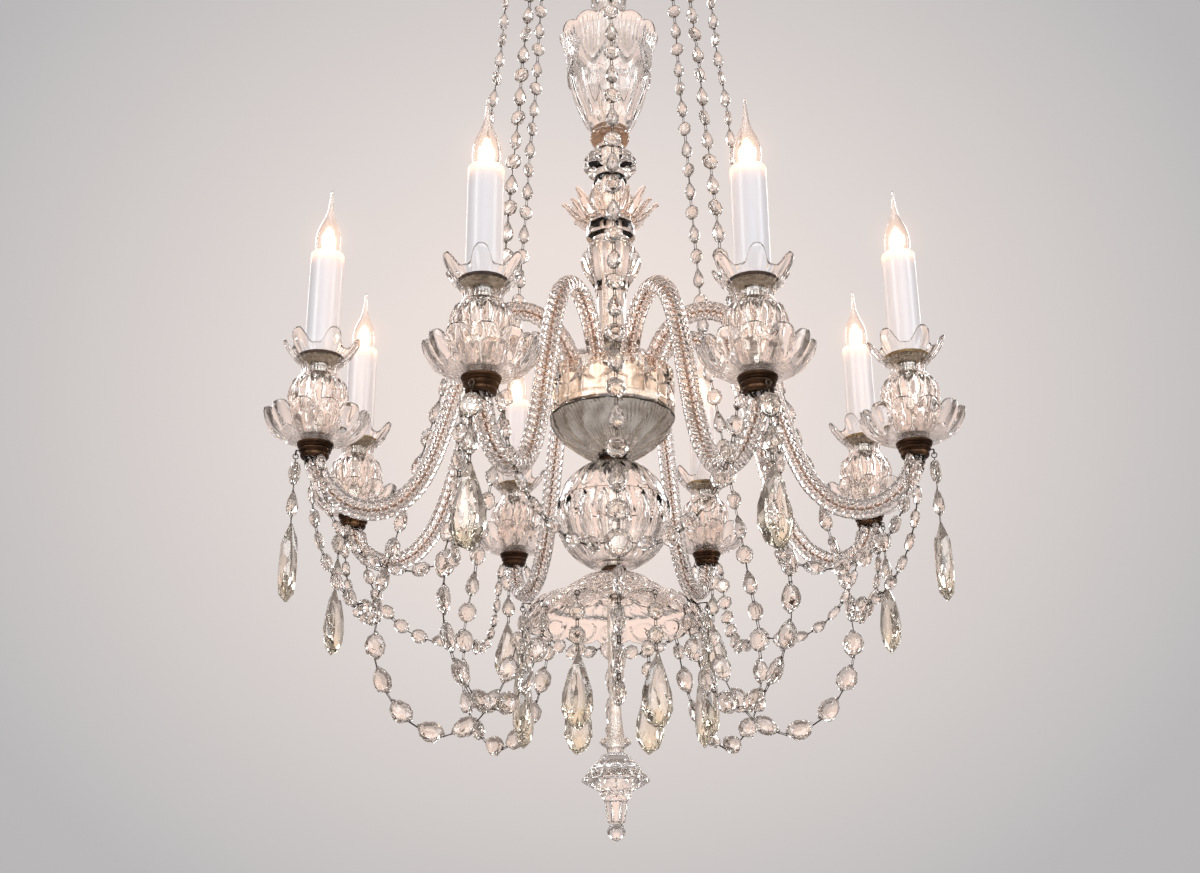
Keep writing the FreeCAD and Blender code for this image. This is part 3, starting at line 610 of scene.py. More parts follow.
def bead_link(geo, p, q, tan, turn=0.0):
    """wire pin from bead to bead: a loop through each bead's hole and a twist between"""
    d = q - p
    ln = np.linalg.norm(d)
    u = d / ln
    side = np.cross(u, tan)
    side /= np.linalg.norm(side)
    tan = np.cross(side, u)
    w = tan * math.cos(turn) + side * math.sin(turn)
    hw, e = 1.25, 1.7
    loop = [p - u * e, p - u * (e - 0.7) + w * hw, p + d * 0.5 + w * hw * 0.9, q + u * (e - 0.7) + w * hw, q + u * e,
            q + u * (e - 0.7) - w * hw, p + d * 0.5 - w * hw * 0.9, p - u * (e - 0.7) - w * hw]
    tube(geo, loop, 0.42, 4, close=True)
    for c in (p + u * 0.2, q - u * 0.2):
        tube(geo, [c - w * (hw + 0.5), c, c + w * (hw + 0.5)], 0.44, 4)


# chains, as the frame lays them out
STRING_RZ = [(108.0, 690.0), (112.5, 640.0), (117.0, 578.0), (121.0, 510.0), (130.0, 434.0),
             (134.0, 370.0), (141.0, 300.0), (147.0, 230.0), (150.0, 183.0), (162.0, 142.0),
             (168.0, 115.0), (172.5, 84.0), (183.0, 25.0), (194.0, -33.0), (198.0, -62.0),
             (204.0, -90.0)]
JUNC = {0.0: (210.0, -121.0), 45.0: (212.0, -122.0), -45.0: (212.0, -122.0),
        90.0: (230.0, -130.0), -90.0: (230.0, -130.0), 135.0: (225.0, -128.0),
        -135.0: (225.0, -128.0), 180.0: (220.0, -125.0)}
JUNC_W = 25.0
SWAG_TZ = [(0.0, -12.0), (0.015, -26.0), (0.04, -46.0), (0.10, -68.0), (0.20, -88.0),
           (0.32, -103.0), (0.46, -115.0), (0.62, -122.5), (0.80, -126.0), (1.0, -121.0)]
GARLAND_RZ = [(2.0, -30.0), (-1.0, -52.0), (-13.0, -84.0), (-33.0, -110.0), (-59.0, -121.0),
              (-81.0, -112.0), (-99.0, -88.0), (-111.0, -58.0)]
NEXT = {"a1": (0.0, -45.0), "a2": (45.0, 0.0), "b2": (90.0, 45.0), "c2": (135.0, 90.0),
        "d2": (180.0, 135.0), "d1": (-135.0, 180.0), "c1": (-90.0, -135.0), "b1": (-45.0, -90.0)}


def along(poly, s):
    for k in range(len(poly) - 1):
        d = np.linalg.norm(poly[k + 1] - poly[k])
        if s <= d or k == len(poly) - 2:
            return poly[k] + (poly[k + 1] - poly[k]) * (s / d)
        s -= d
    return poly[-1]


def chain(poly, beads):
    total = sum(np.linalg.norm(q - p) for p, q in zip(poly[:-1], poly[1:]))
    gap = (total - sum(b[1] for b in beads)) / (len(beads) + 1)
    s, placed, pins, last = gap, [], [], poly[0]
    for kind, length, width, thick in beads:
        p, q = along(poly, s), along(poly, s + length)
        placed.append((kind, (p + q) * 0.5, q - p, np.linalg.norm(q - p), width, thick))
        pins.append((last, p))
        last = q
        s += length + gap
    pins.append((last, poly[-1]))
    return placed, pins


def string_spec(total):
    out, used, k = [], 0.0, 0
    while True:
        s = used / total
        if k % 2 == 0:
            b = ("oct", 16.0 + 6.0 * s * s, 16.0 + 6.0 * s * s, 7.0 + 2.2 * s * s)
        else:
            b = ("tear", 20.5 + 6.5 * s * s, 13.4 + 4.4 * s * s, 11.8 + 2.6 * s * s)
        if used + b[1] + 7.6 > total:
            return out
        out.append(b)
        used += b[1] + 7.2
        k += 1


def string_path(az):
    jr, jz = JUNC[az]
    pts = [at(r + (jr - 210.0) * min(1.0, max(0.0, (142.0 - z) / 232.0)), az, z) for r, z in STRING_RZ]
    pts.append(at(jr, az, jz + JUNC_W / 2))
    return pts


def swag_path(arm_az, az):
    side = 1.0 if ((az - arm_az + 180.0) % 360.0) - 180.0 > 0 else -1.0
    jr, jz = JUNC[az]
    p0 = at(REACH - 1.0, arm_az, 0.0, side * 17.8)
    p1 = at(jr, az, 0.0, -side * JUNC_W / 2)
    pts = []
    for t, z in SWAG_TZ:
        p = p0 + (p1 - p0) * t
        pts.append(np.array([p[0], p[1], z + (jz + 121.0) * t]))
    pts[0] = at(REACH - 3.0, arm_az, -10.5, side * 12.2)
    return pts


def garland_path(az):
    jr, jz = JUNC[az]
    pts = [at(jr, az, jz - JUNC_W / 2)]
    for dr, dz in GARLAND_RZ:
        pts.append(at(jr + dr * (jr - 92.0) / 118.0 if dr < 0 else jr + dr, az, jz + dz))
    pts.append(at(89.5, az, -144.0))
    return pts


def turned(normal, axis, deg):
    a = np.asarray(axis, float)
    a = a / np.linalg.norm(a)
    t = math.radians(deg)
    return normal * math.cos(t) + np.cross(a, normal) * math.sin(t) + a * np.dot(a, normal) * (1 - math.cos(t))


g_str, g_swag, g_gar = Geo(), Geo(), Geo()
w_str, w_swag, w_gar, w_hook = Geo(), Geo(), Geo(), Geo()
for az in STRING_AZ:
    path = string_path(az)
    total = sum(np.linalg.norm(q - p) for p, q in zip(path[:-1], path[1:]))
    placed, pins = chain(path, string_spec(total))
    for kind, c, axis, length, width, thick in placed:
        put_bead(g_str, kind, c, axis, turned(direction(az), axis, rng.uniform(-24, 24)), length, width, thick)
    for p, q in pins:
        bead_link(w_str, p, q, tangent(az), rng.uniform(-0.7, 0.7))
    jr, jz = JUNC[az]
    put_bead(g_str, "oct", at(jr, az, jz), np.array([0, 0, -1.0]), turned(direction(az), (0, 0, 1), rng.uniform(-10, 10)), JUNC_W, JUNC_W, 10.0)
    placed, pins = chain(garland_path(az), [("pear", 27.5, 20.0, 10.0)] * 7 + [("oct", 16.0, 16.0, 7.0)])
    for kind, c, axis, length, width, thick in placed:
        nrm = turned(tangent(az), axis, rng.uniform(-35, 35))
        if kind == "pear":
            put_bead(g_gar, "almond", c, axis, nrm, length * 1.04, width * 1.03, thick)
        else:
            put_bead(g_gar, kind, c, axis, nrm, length, width, thick)
    for p, q in pins:
        bead_link(w_gar, p, q, tangent(az), rng.uniform(-0.7, 0.7))
for name in NAMES:
    for which, az in enumerate(NEXT[name]):
        path = swag_path(ARMS[name], az)
        if which == 0:
            spec = [("prism", 17.5, 9.0, 9.0)] * 5 + [("oval", 17.5, 12.0, 11.0)] * 2 + [("oct", 16.5, 16.5, 7.0)]
        else:
            spec = [("prism", 16.0, 8.5, 8.5)] + [("oct", 17.0, 17.0, 7.0)] * 5 + [("oct", 18.0, 18.0, 7.5), ("oval", 21.0, 14.0, 12.0)]
        placed, pins = chain(path, spec)
        mid_az = (ARMS[name] + az) / 2 if abs(ARMS[name] - az) < 90 else 180.0
        for kind, c, axis, length, width, thick in placed:
            put_bead(g_swag, kind, c, axis, turned(direction(mid_az), axis, rng.uniform(-20, 20)), length, width, thick)
        for p, q in pins:
            bead_link(w_swag, p, q, tangent(mid_az), rng.uniform(-0.7, 0.7))

make("string_crystals", "root", g_str, M_BEAD, ["string_beads"], flat=True)
make("swag_crystals", "root", g_swag, M_BEAD, ["swag_beads"], flat=True)
make("garland_crystals", "root", g_gar, M_BEAD, ["garland_beads"], flat=True)

# hooks that carry the drops
DROP_ARM_R, DROP_SKIRT_R = 317.2, 94.5
RING_R, RING_WIRE = 2.4, 0.5


def hook(geo, r, az, z_low, peg_from):
    """ring in the tangent plane, on a wire peg"""
    ring_wire(geo, at(r, az, z_low + RING_R), direction(az), RING_R, RING_WIRE, 18, 8)
    tube(geo, [at(peg_from, az, z_low + 2 * RING_R), at((peg_from + r) / 2, az, z_low + 2 * RING_R), at(r, az, z_low + 2 * RING_R)], 0.6, 8)


def drop(name, body_prefix, r, az, z_low, items):
    g, w = Geo(), Geo()
    z = z_low + 2 * RING_WIRE + 0.3
    ring_wire(w, at(r, az, z - RING_R), tangent(az), RING_R, RING_WIRE, 18, 8)
    z -= 2 * RING_R
    for k, (kind, length, width, thick, gap) in enumerate(items):
        if k == 0:
            tube(w, [at(r, az, z), at(r, az, z - gap - 1.5)], 0.5, 6)
        else:
            bead_link(w, at(r, az, z), at(r, az, z - gap), tangent(az))
        z -= gap
        put_bead(g, kind, at(r, az, z - length / 2), np.array([0, 0, -1.0]), direction(az), length, width, thick)
        z -= length
    body = body_prefix + name
    make(body + "_crystals", body, g, M_DROP, [body], flat=True)
    make(body + "_wires", body, w, M_PIN)


for name in NAMES:
    az = ARMS[name]
    hook(w_hook, DROP_ARM_R, az, -13.5, REACH + 11.0)
    hook(w_hook, DROP_SKIRT_R, az, -136.5, 84.5)
    drop(name, "arm_drop_", DROP_ARM_R, az, -13.5, [("oct", 21.0, 21.0, 9.0, 3.0), ("pear", 25.0, 17.0, 11.0, 6.0), ("drop", 72.0, 33.0, 15.0, 6.5)])
    drop(name, "skirt_drop_", DROP_SKIRT_R, az, -136.5, [("oct", 16.0, 16.0, 7.0, 3.0), ("oct", 16.0, 16.0, 7.0, 6.0), ("drop", 71.0, 31.0, 14.0, 6.0)])

make("string_wires", "root", w_str, M_PIN, ["wire_pins"], sharp=60)
make("swag_wires", "root", w_swag, M_PIN, ["wire_pins"], sharp=60)
make("garland_wires", "root", w_gar, M_PIN, ["wire_pins"], sharp=60)
make("drop_hooks", "root", w_hook, M_PIN, ["wire_pins"], sharp=60)

# ------------------------------------------------------------------ arms
ARM_RZ = [(42.5, 97.0), (42.8, 120.0), (57.0, 151.0), (83.0, 170.5), (112.0, 169.5),
          (137.0, 150.0), (153.0, 118.0), (165.0, 78.0), (176.0, 38.0), (186.0, 4.0),
          (200.0, -28.0), (222.0, -51.5), (247.0, -59.5), (272.0, -54.0), (292.0, -37.0),
          (300.0, -18.0), (300.0, -5.6)]
WIRE_RZ = [(42.5, 90.2)] + ARM_RZ[1:-1] + [(300.0, 2.0)]


def arc_line(rz, step):
    """straight runs joined by tangent arcs, resampled evenly"""
    p = [np.array(q, float) for q in rz]
    out = [p[0]]
    for i in range(1, len(p) - 1):
        a, b, c = p[i - 1], p[i], p[i + 1]
        u, w = a - b, c - b
        lu, lw = np.linalg.norm(u), np.linalg.norm(w)
        u, w = u / lu, w / lw
        turn = math.pi - math.acos(max(-1, min(1, float(np.dot(u, w)))))
        t = 0.45 * min(lu, lw)
        rad = t / math.tan(turn / 2)
        s, e = b + u * t, b + w * t
        bis = (u + w) / np.linalg.norm(u + w)
        cen = b + bis * (rad / math.cos(turn / 2))
        a0 = math.atan2(*(s - cen)[::-1])
        a1 = math.atan2(*(e - cen)[::-1])
        da = (a1 - a0 + math.pi) % TAU - math.pi
        for k in range(9):
            th = a0 + da * k / 8
            out.append(cen + rad * np.array([math.cos(th), math.sin(th)]))
    out.append(p[-1])
    q = np.array(out)
    d = np.concatenate([[0.0], np.cumsum(np.linalg.norm(np.diff(q, axis=0), axis=1))])
    n = int(round(d[-1] / step))
    s = np.linspace(0, d[-1], n + 1)
    return np.stack([np.interp(s, d, q[:, 0]), np.interp(s, d, q[:, 1])], 1), s


def planar_frames(rz):
    t = np.gradient(rz, axis=0)
    t /= np.linalg.norm(t, axis=1)[:, None]
    nrm = np.stack([-t[:, 1], t[:, 0]], 1)
    return nrm


def ring_rows(rz, nrm, radius, turn=0.0, ang=None):
    """rings across a line in the r-z plane; radius is (rows, columns), turn is per row"""
    m, n = radius.shape
    a = (np.arange(n) / n * TAU if ang is None else ang)[None] + np.broadcast_to(np.asarray(turn, float).reshape(-1, 1), (m, 1))
    r = rz[:, :1] + nrm[:, :1] * np.cos(a) * radius
    z = rz[:, 1:] + nrm[:, 1:] * np.cos(a) * radius
    x = np.sin(a) * radius
    return np.stack([x, -r, z], -1)


STRANDS, PITCH = 4, 33.0


def arm_geo():
    """rope-twist tube: its columns run along the strands, so every groove is one clean line"""
    g = Geo()
    rz, s = arc_line(ARM_RZ, 1.35)
    nrm = planar_frames(rz)
    n = 40
    spots = np.array([0.0, 0.26, 0.50, 0.70, 0.86, 1.0, 1.14, 1.30, 1.50, 1.74]) / 2.0
    w = np.concatenate([spots + k for k in range(STRANDS)])
    ang = w / STRANDS * TAU
    w = w - np.round(w)
    f = 0.30 * (2 * np.abs(w)) ** 2 + 0.62 * np.maximum(0.0, (2 * np.abs(w) - 0.84) / 0.16)
    turn = s * TAU / PITCH
    ease = smooth(s, 0, 9)[:, None] * smooth(s[-1] - s, 0, 12)[:, None]
    outer = 9.55 + (0.2 - f[None]) * ease
    ro = ring_rows(rz, nrm, outer, turn, ang)
    k = np.arange(0, len(s), 3)
    if k[-1] != len(s) - 1:
        k = np.append(k, len(s) - 1)
    m = 20
    ri = ring_rows(rz[k], nrm[k], np.full((len(k), m), 4.4), turn[k])
    vo, vi = ro.reshape(-1, 3), ri.reshape(-1, 3)
    faces = [grid_faces(len(s), n, False), grid_faces(len(k), m, False) + len(vo)]
    tri = []
    for o0, i0 in ((0, len(vo)), ((len(s) - 1) * n, len(vo) + (len(k) - 1) * m)):
        for j in range(m):      # two outer steps to each inner step
            i1 = i0 + j
            i2 = i0 + (j + 1) % m
            p0, p1, p2 = o0 + 2 * j, o0 + 2 * j + 1, o0 + (2 * j + 2) % n
            tri.append((p0, p1, i1))
            tri.append((p1, p2, i2))
            tri.append((p1, i2, i1))
    faces.append(np.array(tri))
    # painted warm lamplight, strongest where the arm leaves the stem and gone 190 mm along it
    lamplight_tint = np.concatenate([np.repeat(np.clip(1 - s / 190.0, 0, 1), n), np.repeat(np.clip(1 - s[k] / 190.0, 0, 1), m)]) * 0.6
    g.add(np.concatenate([vo, vi]), faces, np.stack([lamplight_tint * 0, lamplight_tint, lamplight_tint * 0], 1))
    return g


arm = arm_geo()
for piece, names, cad in (("rope_arms_front", ("a1", "a2", "b1", "b2"), "glass_arms_front"),
                          ("rope_arms_back", ("c1", "c2", "d1", "d2"), "glass_arms_back")):
    g = Geo()
    for n in names:
        g.stamp(arm, lambda v, n=n: spin(v, ARMS[n]))
    make(piece, "root", g, M_ARM, [cad], sharp=24)

g = Geo()
rz, s = arc_line(WIRE_RZ, 4.0)
lead = Geo()
a = np.arange(10) / 10 * TAU
rad = 1.12 + 0.16 * np.cos(2 * (a[None] - s[:, None] * TAU / 18.0))
v = ring_rows(rz, planar_frames(rz), rad).reshape(-1, 3)
lead.add(v, [grid_faces(len(s), 10, False), np.array([list(range(10))[::-1], [(len(s) - 1) * 10 + i for i in range(10)]])])
for n in NAMES:
    g.stamp(lead, lambda v, n=n: spin(v, ARMS[n]))
make("lamp_leads", "root", g, M_WIRE, ["arm_wires"])


# ------------------------------------------------------------------ candle stack
def eight(unit):
    g = Geo()
    for n in NAMES:
        g.stamp(unit, lambda v, n=n: spin(v, ARMS[n], REACH))
    return g


# turned bronze cup
u = Geo()
lathe(u, np.concatenate([run([(3.2, -0.1), (3.2, -5.0), (9.9, -5.0), (9.9, -14.6), (10.4, -15.0), (11.6, -15.0), (12.4, -14.2), (13.2, -12.2), (13.2, -10.8),
                              (12.6, -10.0), (13.2, -9.0), (14.4, -8.3), (14.8, -7.3), (14.5, -6.1), (13.9, -5.6), (15.4, -4.9), (16.0, -4.0), (15.4, -3.2),
                              (16.2, -2.6), (16.8, -1.7), (16.8, -0.7), (16.5, -0.1)], 1.6, sharp=(1, 2, 3, 9, 14, 17, 21))]), 56)
make("bronze_cups", "root", eight(u), M_BRONZE, ["arm_cups"], sharp=35)


# drip pan of twelve rounded petals
def pan_trim(az):
    return 1.0 - 0.15 * (2 * np.abs(wave(az, 12))) ** 2.8


def pan_mod(r, az, z, t, side):
    w = wave(az, 12)
    cup = np.cos(TAU * w) * smooth(t, 0.40, 0.9)
    r = r + 0.8 * cup + 0.8 * smooth(t, 0.9, 1.0) * np.cos(TAU * w)
    z = z - 0.5 * cup
    # a stippled band round the middle, and the flutes that end in the petals
    stip = 0.22 * np.cos(TAU * wave(az, 48, 0.5 * np.round((r - 16.0) / 2.6))) * np.cos(TAU * (r - 16.0) / 5.2)
    r = r + np.where(side > 0, stip * smooth(r, 16.0, 18.0) * (1 - smooth(r, 31.0, 33.0)), 0.0)
    rib = 1 - (2 * np.abs(wave(az, 12, 0.0))) ** 2
    r = r - np.where(side > 0, 0.0, 1.3 * rib * smooth(t, 0.55, 0.8) * (1 - 0.6 * smooth(t, 0.9, 1.0)))
    r = r + np.where(side > 0, 0.9 * (2 * np.abs(w)) ** 6 * smooth(t, 0.55, 0.75) * -1.0, 0.0)
    return r, z


def pan_paint(r, az, z, t, side):
    fine = np.where(side > 0, 0.8 * smooth(r, 13.0, 15.0) * (1 - smooth(r, 20.0, 26.0)), 0.0)
    # a little painted warm lamplight, the same all over the pan
    return fine, 0 * t + 0.10, 0 * t


u = Geo()
shell(u, [(4.4, 0.15), (13.0, 0.15), (24.0, 1.6), (35.0, 6.2), (43.0, 13.0), (47.4, 21.0), (47.9, 28.6)],
      [(4.4, 3.9), (12.0, 3.9), (23.0, 5.6), (33.6, 10.4), (39.8, 16.0), (43.4, 22.6), (44.2, 29.0)],
      192, pan_trim, pan_mod, pan_paint, turn=0.0, steps=(2.5, 3.4), lip=1.1, warp_from=0.40, sharp_out=(1,), sharp_in=(1,))
make("drip_pan_petals", "root", eight(u), M_CLEAR, ["drip_pans"], sharp=40)


# candle vase: bulb cut with lancets, low arches, six-lobed cup
def vase_trim(az):
    w = np.abs(wave(az, 6, 0.0))
    return 1.0 - 0.140 * (1.0 - np.exp(-(w / 0.25) ** 3.2))


def vase_mod(r, az, z, t, side):
    out = side > 0
    wh = wave(az, 12, 0.5)
    # tall lancets on the upper body: ridges that meet in points
    a1 = 2 * np.abs(wave(az + (z - 44.0) * 0.0125, 12))
    a2 = 2 * np.abs(wave(az - (z - 44.0) * 0.0125, 12))
    lan = np.minimum(a1, a2) * smooth(z, 22, 28) * (1 - smooth(z, 58, 62))
    arch = lens(wh, z, 14.0, 17.0, 0.46, 1.0) * (z > 8) * (1 - smooth(z, 24, 30))
    r = r + np.where(out, 3.0 * lan - 1.2 * smooth(z, 22, 28) * (1 - smooth(z, 58, 62)) + 1.3 * arch * smooth(z, 8, 12), 0.0)
    neck = 1 - (2 * np.abs(wave(az, 12))) ** 2
    r = r - np.where(out, 0.7 * neck * smooth(z, 64, 67) * (1 - smooth(z, 76, 79)), 0.0)
    # lobes of the cup
    k = smooth(z, 82, 103)
    c = 0.5 + 0.5 * np.cos(TAU * wave(az, 6, 0.0))
    r = r + k * (1.7 * c - 1.3)
    z = z - k * 0.6 * c
    r = r + np.where(out, -0.6 * np.cos(TAU * wave(az, 24)) * smooth(z, 77, 82) * (1 - smooth(z, 92, 100)), 0.0)
    return r, z


def vase_paint(r, az, z, t, side):
    # painted warm lamplight, strongest in a band round the bulb of the vase
    return 0 * t, 0.10 + 0.35 * np.exp(-((z - 38.0) / 22.0) ** 2), 0 * t


u = Geo()
shell(u, [(4.4, 4.1), (12.0, 4.1), (15.0, 8.0), (20.0, 17.0), (24.2, 30.0), (26.4, 42.0), (26.6, 50.0), (25.0, 57.5), (20.8, 63.0), (17.6, 67.0), (17.0, 71.0),
          (18.2, 76.0), (22.5, 81.5), (27.4, 87.0), (31.6, 93.0), (34.8, 98.6), (36.2, 103.6)],
      [(4.4, 8.0), (11.5, 10.5), (16.6, 19.6), (20.8, 31.0), (22.8, 43.0), (23.0, 50.0), (21.4, 56.4), (17.4, 62.4), (14.3, 67.0), (13.8, 71.0), (14.9, 76.5),
       (17.0, 80.4), (20.6, 82.8), (23.4, 85.8), (27.4, 92.0), (31.0, 98.2), (33.4, 104.2)],
      120, vase_trim, vase_mod, vase_paint, steps=(2.1, 3.4), lip=1.2, warp_from=0.78, sharp_out=(1,), sharp_in=())
# the six-lobed cups were never lined up: each stands at its own angle
LOBE_TURN = {"a1": 22.0, "a2": -22.0, "b1": 37.0, "b2": 8.0, "c1": 12.0, "c2": -25.0, "d1": 5.0, "d2": 20.0}
for piece, names in (("candle_vases_near", ("a1", "a2", "b1", "b2")), ("candle_vases_far", ("c1", "c2", "d1", "d2"))):
    g = Geo()
    for n in names:
        g.stamp(u, lambda v, n=n: spin(spin(v, LOBE_TURN[n]), ARMS[n], REACH))
    make(piece, "root", g, M_CLEAR, ["candle_vases"], sharp=36)

# disc under the candle: a polished underside with a turned hub, and a rolled rim
M_DISC = metal("polished_disc", (0.78, 0.70, 0.55), (0.45, 0.37, 0.26), (0.10, 0.24), wear=(0.9, 0.84, 0.72), wear_amount=0.6)
M_GILT = metal("gilt_rim", (0.66, 0.47, 0.20), (0.34, 0.21, 0.08), (0.14, 0.30), wear=(0.88, 0.72, 0.42), wear_amount=0.6)
u = Geo()
lathe(u, run([(4.4, 86.2), (4.4, 78.7), (11.0, 78.7), (12.0, 79.3), (13.0, 80.6), (14.6, 81.7), (16.0, 82.6), (18.0, 83.0), (19.6, 83.5), (19.6, 86.2)], 2.2,
             sharp=(1, 2, 4, 6, 8)), 64)
make("gallery_discs", "root", eight(u), M_DISC, ["gallery_rings"], sharp=30)
rim = Geo()
lathe(rim, run([(19.7, 86.3), (19.7, 84.6), (18.9, 83.9), (19.4, 83.4), (20.6, 83.6), (21.3, 84.4), (21.5, 85.2), (21.1, 86.1), (20.4, 86.4)], 1.4, sharp=(1, 2)), 64)
for piece, names, mat in (("gallery_rims_dark", ("a1", "b1", "a2"), M_BRONZE), ("gallery_rims_gilt", ("b2", "c1", "c2", "d1", "d2"), M_GILT)):
    g = Geo()
    for n in names:
        g.stamp(rim, lambda v, n=n: spin(v, ARMS[n], REACH))
    make(piece, "root", g, mat, ["gallery_rings"], sharp=30)

# sleeve
u = Geo()
lathe(u, run([(14.6, 86.6), (15.4, 86.6), (16.0, 87.2), (16.0, 140.0), (16.0, 192.0), (15.6, 192.8), (15.0, 192.9), (14.6, 192.4), (14.6, 140.0)], 14.0,
             sharp=(1, 2, 4, 7)), 48)
make("pearl_sleeves", "root", eight(u), M_SLEEVE, ["candle_sleeves"], sharp=40)

# threaded tube, nut and lampholder
u = Geo()


def holder_mod(r, a, z):
    knurl = np.where((z > 132) & (z < 189) & (r > 11.0), 0.25 * np.cos(20 * a), 0.0)
    nut = np.where((z > 68.2) & (z < 78.5) & (r > 7.0), 0.0, 0.0)
    return r + knurl + nut, z


lathe(u, run([(0.0, 0.4), (2.3, 0.4), (2.3, 3.0), (2.6, 3.0), (2.6, 0.4), (4.0, 0.4), (4.0, 66.0), (9.0, 66.6), (9.2, 67.5), (9.0, 68.4), (8.0, 69.0), (8.0, 78.4), (4.0, 78.4),
              (4.0, 86.8), (9.0, 86.8), (9.0, 130.0), (12.0, 132.0), (12.0, 190.0), (7.3, 190.0), (7.3, 160.0), (0.0, 160.0)], 12.0,
             sharp=tuple(range(1, 20))), 40, holder_mod)
make("lampholder_tubes", "root", eight(u), M_STEEL, ["lampholders"], sharp=30)

# lamps: drawn-tip envelope, cap and glowing core
for n in NAMES:
    place = lambda v, n=n: spin(v, ARMS[n], REACH)
    env = Geo()
    lathe(env, np.concatenate([
        run([(6.0, 190.6), (7.0, 190.6), (7.8, 191.6), (10.2, 194.6), (12.2, 200.0), (12.8, 206.0), (12.3, 213.0), (10.4, 221.0), (7.5, 228.0), (4.9, 234.5), (3.4, 240.5), (2.5, 247.0),
             (1.9, 253.0), (1.4, 259.0), (1.0, 262.8), (0.4, 264.3)], 2.4),
        run([(0.1, 262.4), (0.7, 259.0), (1.3, 253.0), (1.9, 247.0), (2.8, 240.5), (4.3, 234.5), (6.9, 228.0), (9.8, 221.0), (11.7, 213.0), (12.2, 206.0), (11.6, 200.3), (9.6, 195.2), (6.0, 192.0)], 2.6)]), 40)
    core = Geo()
    lathe(core, np.concatenate([[[0.0, 197.0]], run([(3.4, 197.6), (5.6, 201.0), (6.2, 206.0), (5.6, 212.0), (3.6, 218.0), (1.4, 222.5)], 2.5), [[0.0, 224.0]]]), 20,
          lambda r, a, z: (r * (1 + 0.10 * np.cos(2 * a + z * 0.2)), z))
    cap = Geo()
    lathe(cap, run([(0.0, 161.0), (2.4, 161.0), (3.0, 163.0), (6.8, 165.5), (7.0, 167.0), (7.0, 190.9), (2.0, 191.2), (1.6, 197.4), (0.0, 197.4)], 1.15, sharp=(1, 2, 3, 5, 6, 7)), 28,
          lambda r, a, z: (r - np.where((r > 6.5) & (z > 168) & (z < 187), 0.35 * (0.5 + 0.5 * np.cos(TAU * (z / 3.2 + a / TAU))), 0.0), z))
    body = "bulb_" + n
    for tag, geo, mat, slot in (("envelope", env, M_BULB, "bulb_glass"), ("core", core, M_FLAME, None), ("cap", cap, M_STEEL, "plated_steel")):
        g = Geo()
        g.stamp(geo, place)
        make(body + "_" + tag, body, g, mat, [body] if tag == "envelope" else (), sharp=40)


# ------------------------------------------------------------------ stem
BORE = 5.6


M_LINER = metal("silvered_liner", (0.98, 0.93, 0.88), (0.90, 0.76, 0.66), (0.16, 0.36), scale=150.0, metallic=0.5, bump=0.5)


def stem_piece(name, cad, outline, segs=72, mod=None, paint=None, mat=M_CLEAR, sharp=32, step=2.4, corners=()):
    g = Geo()
    q = run(outline, step, corners)
    lathe(g, q, segs, mod, paint)
    ob = make(name, "root", g, mat, [cad], sharp=sharp)
    if mat in (M_CLEAR, M_CUT):
        line_bore(ob, min(z for _, z in outline), max(z for _, z in outline))
    return ob


def line_bore(ob, z_low, z_high):
    """the bore is silvered and the ground ends are bright, as in a stem of stacked glass"""
    ob.data.materials.append(M_LINER)
    co_ = np.empty(len(ob.data.vertices) * 3)
    ob.data.vertices.foreach_get("co", co_)
    co_ = co_.reshape(-1, 3) / MM
    r = np.hypot(co_[:, 0], co_[:, 1])
    z = co_[:, 2] + H
    inner = r < BORE + 0.2
    end = ((np.abs(z - z_low) < 0.25) | (np.abs(z - z_high) < 0.25)) & (r < 30.0)
    for poly in ob.data.polygons:
        vs = list(poly.vertices)
        if inner[vs].all() or (end[vs].all() and abs(poly.normal[2]) > 0.9):
            poly.material_index = 1


def flutes(n, depth, z0, z1, soft=5.0, rmin=8.0, twist=0.0, convex=False):
    def mod(r, a, z):
        w = 2 * np.abs(wave(a + twist * (z - z0), n))
        f = (w ** 2 if convex else 1 - w ** 2)
        k = smooth(z, z0, z0 + soft) * (1 - smooth(z, z1 - soft, z1)) * (r > rmin)
        return r - depth * f * k, z
    return mod


# painted warm lamplight, the same amount over the whole piece
def painted_lamplight(v, z0=-1e9, z1=1e9):
    return lambda r, a, z: (0 * r, v * np.ones_like(r), 0 * r)


# cap and crown above the picture
stem_piece("cap_turned", "top_cap", [(BORE, 776.0), (BORE, 752.0), (20.6, 752.0), (21.8, 753.0), (22.0, 755.0), (20.0, 757.6), (17.0, 760.0), (15.6, 764.0), (15.0, 768.0),
                                     (12.8, 773.0), (10.0, 776.0)], 56, mat=M_BRONZE, corners=(1, 2, 4, 10))
g = Geo()


def crown_mod(r, a, z, t, side):
    w = wave(a, 16)
    return r + side * 0.9 * np.cos(TAU * w) * smooth(t, 0.4, 0.7), z - 1.6 * (0.5 - 0.5 * np.cos(TAU * w)) * -smooth(t, 0.85, 1.0)


shell(g, [(BORE, 698.0), (15.0, 698.0), (16.0, 712.0), (19.0, 728.0), (30.0, 736.5), (60.0, 731.0), (90.0, 720.0), (105.0, 710.0), (110.5, 698.6)],
      [(BORE, 752.0), (20.0, 752.0), (34.0, 744.0), (61.0, 736.0), (93.0, 724.5), (110.0, 712.0), (114.0, 699.0)],
      128, lambda az: 1.0 - 0.05 * (1.0 - petal(wave(az, 16), 0.96)), crown_mod,
      lambda r, a, z, t, s: (0.35 * smooth(t, 0.3, 0.4) * (1 - smooth(t, 0.7, 0.8)), 0 * t, 0 * t), steps=(4.0, 5.0), lip=0.6, warp_from=0.7,
      sharp_out=(1,), sharp_in=(1,))
make("crown_dish", "root", g, M_CLEAR, ["crown_glass"], sharp=34)

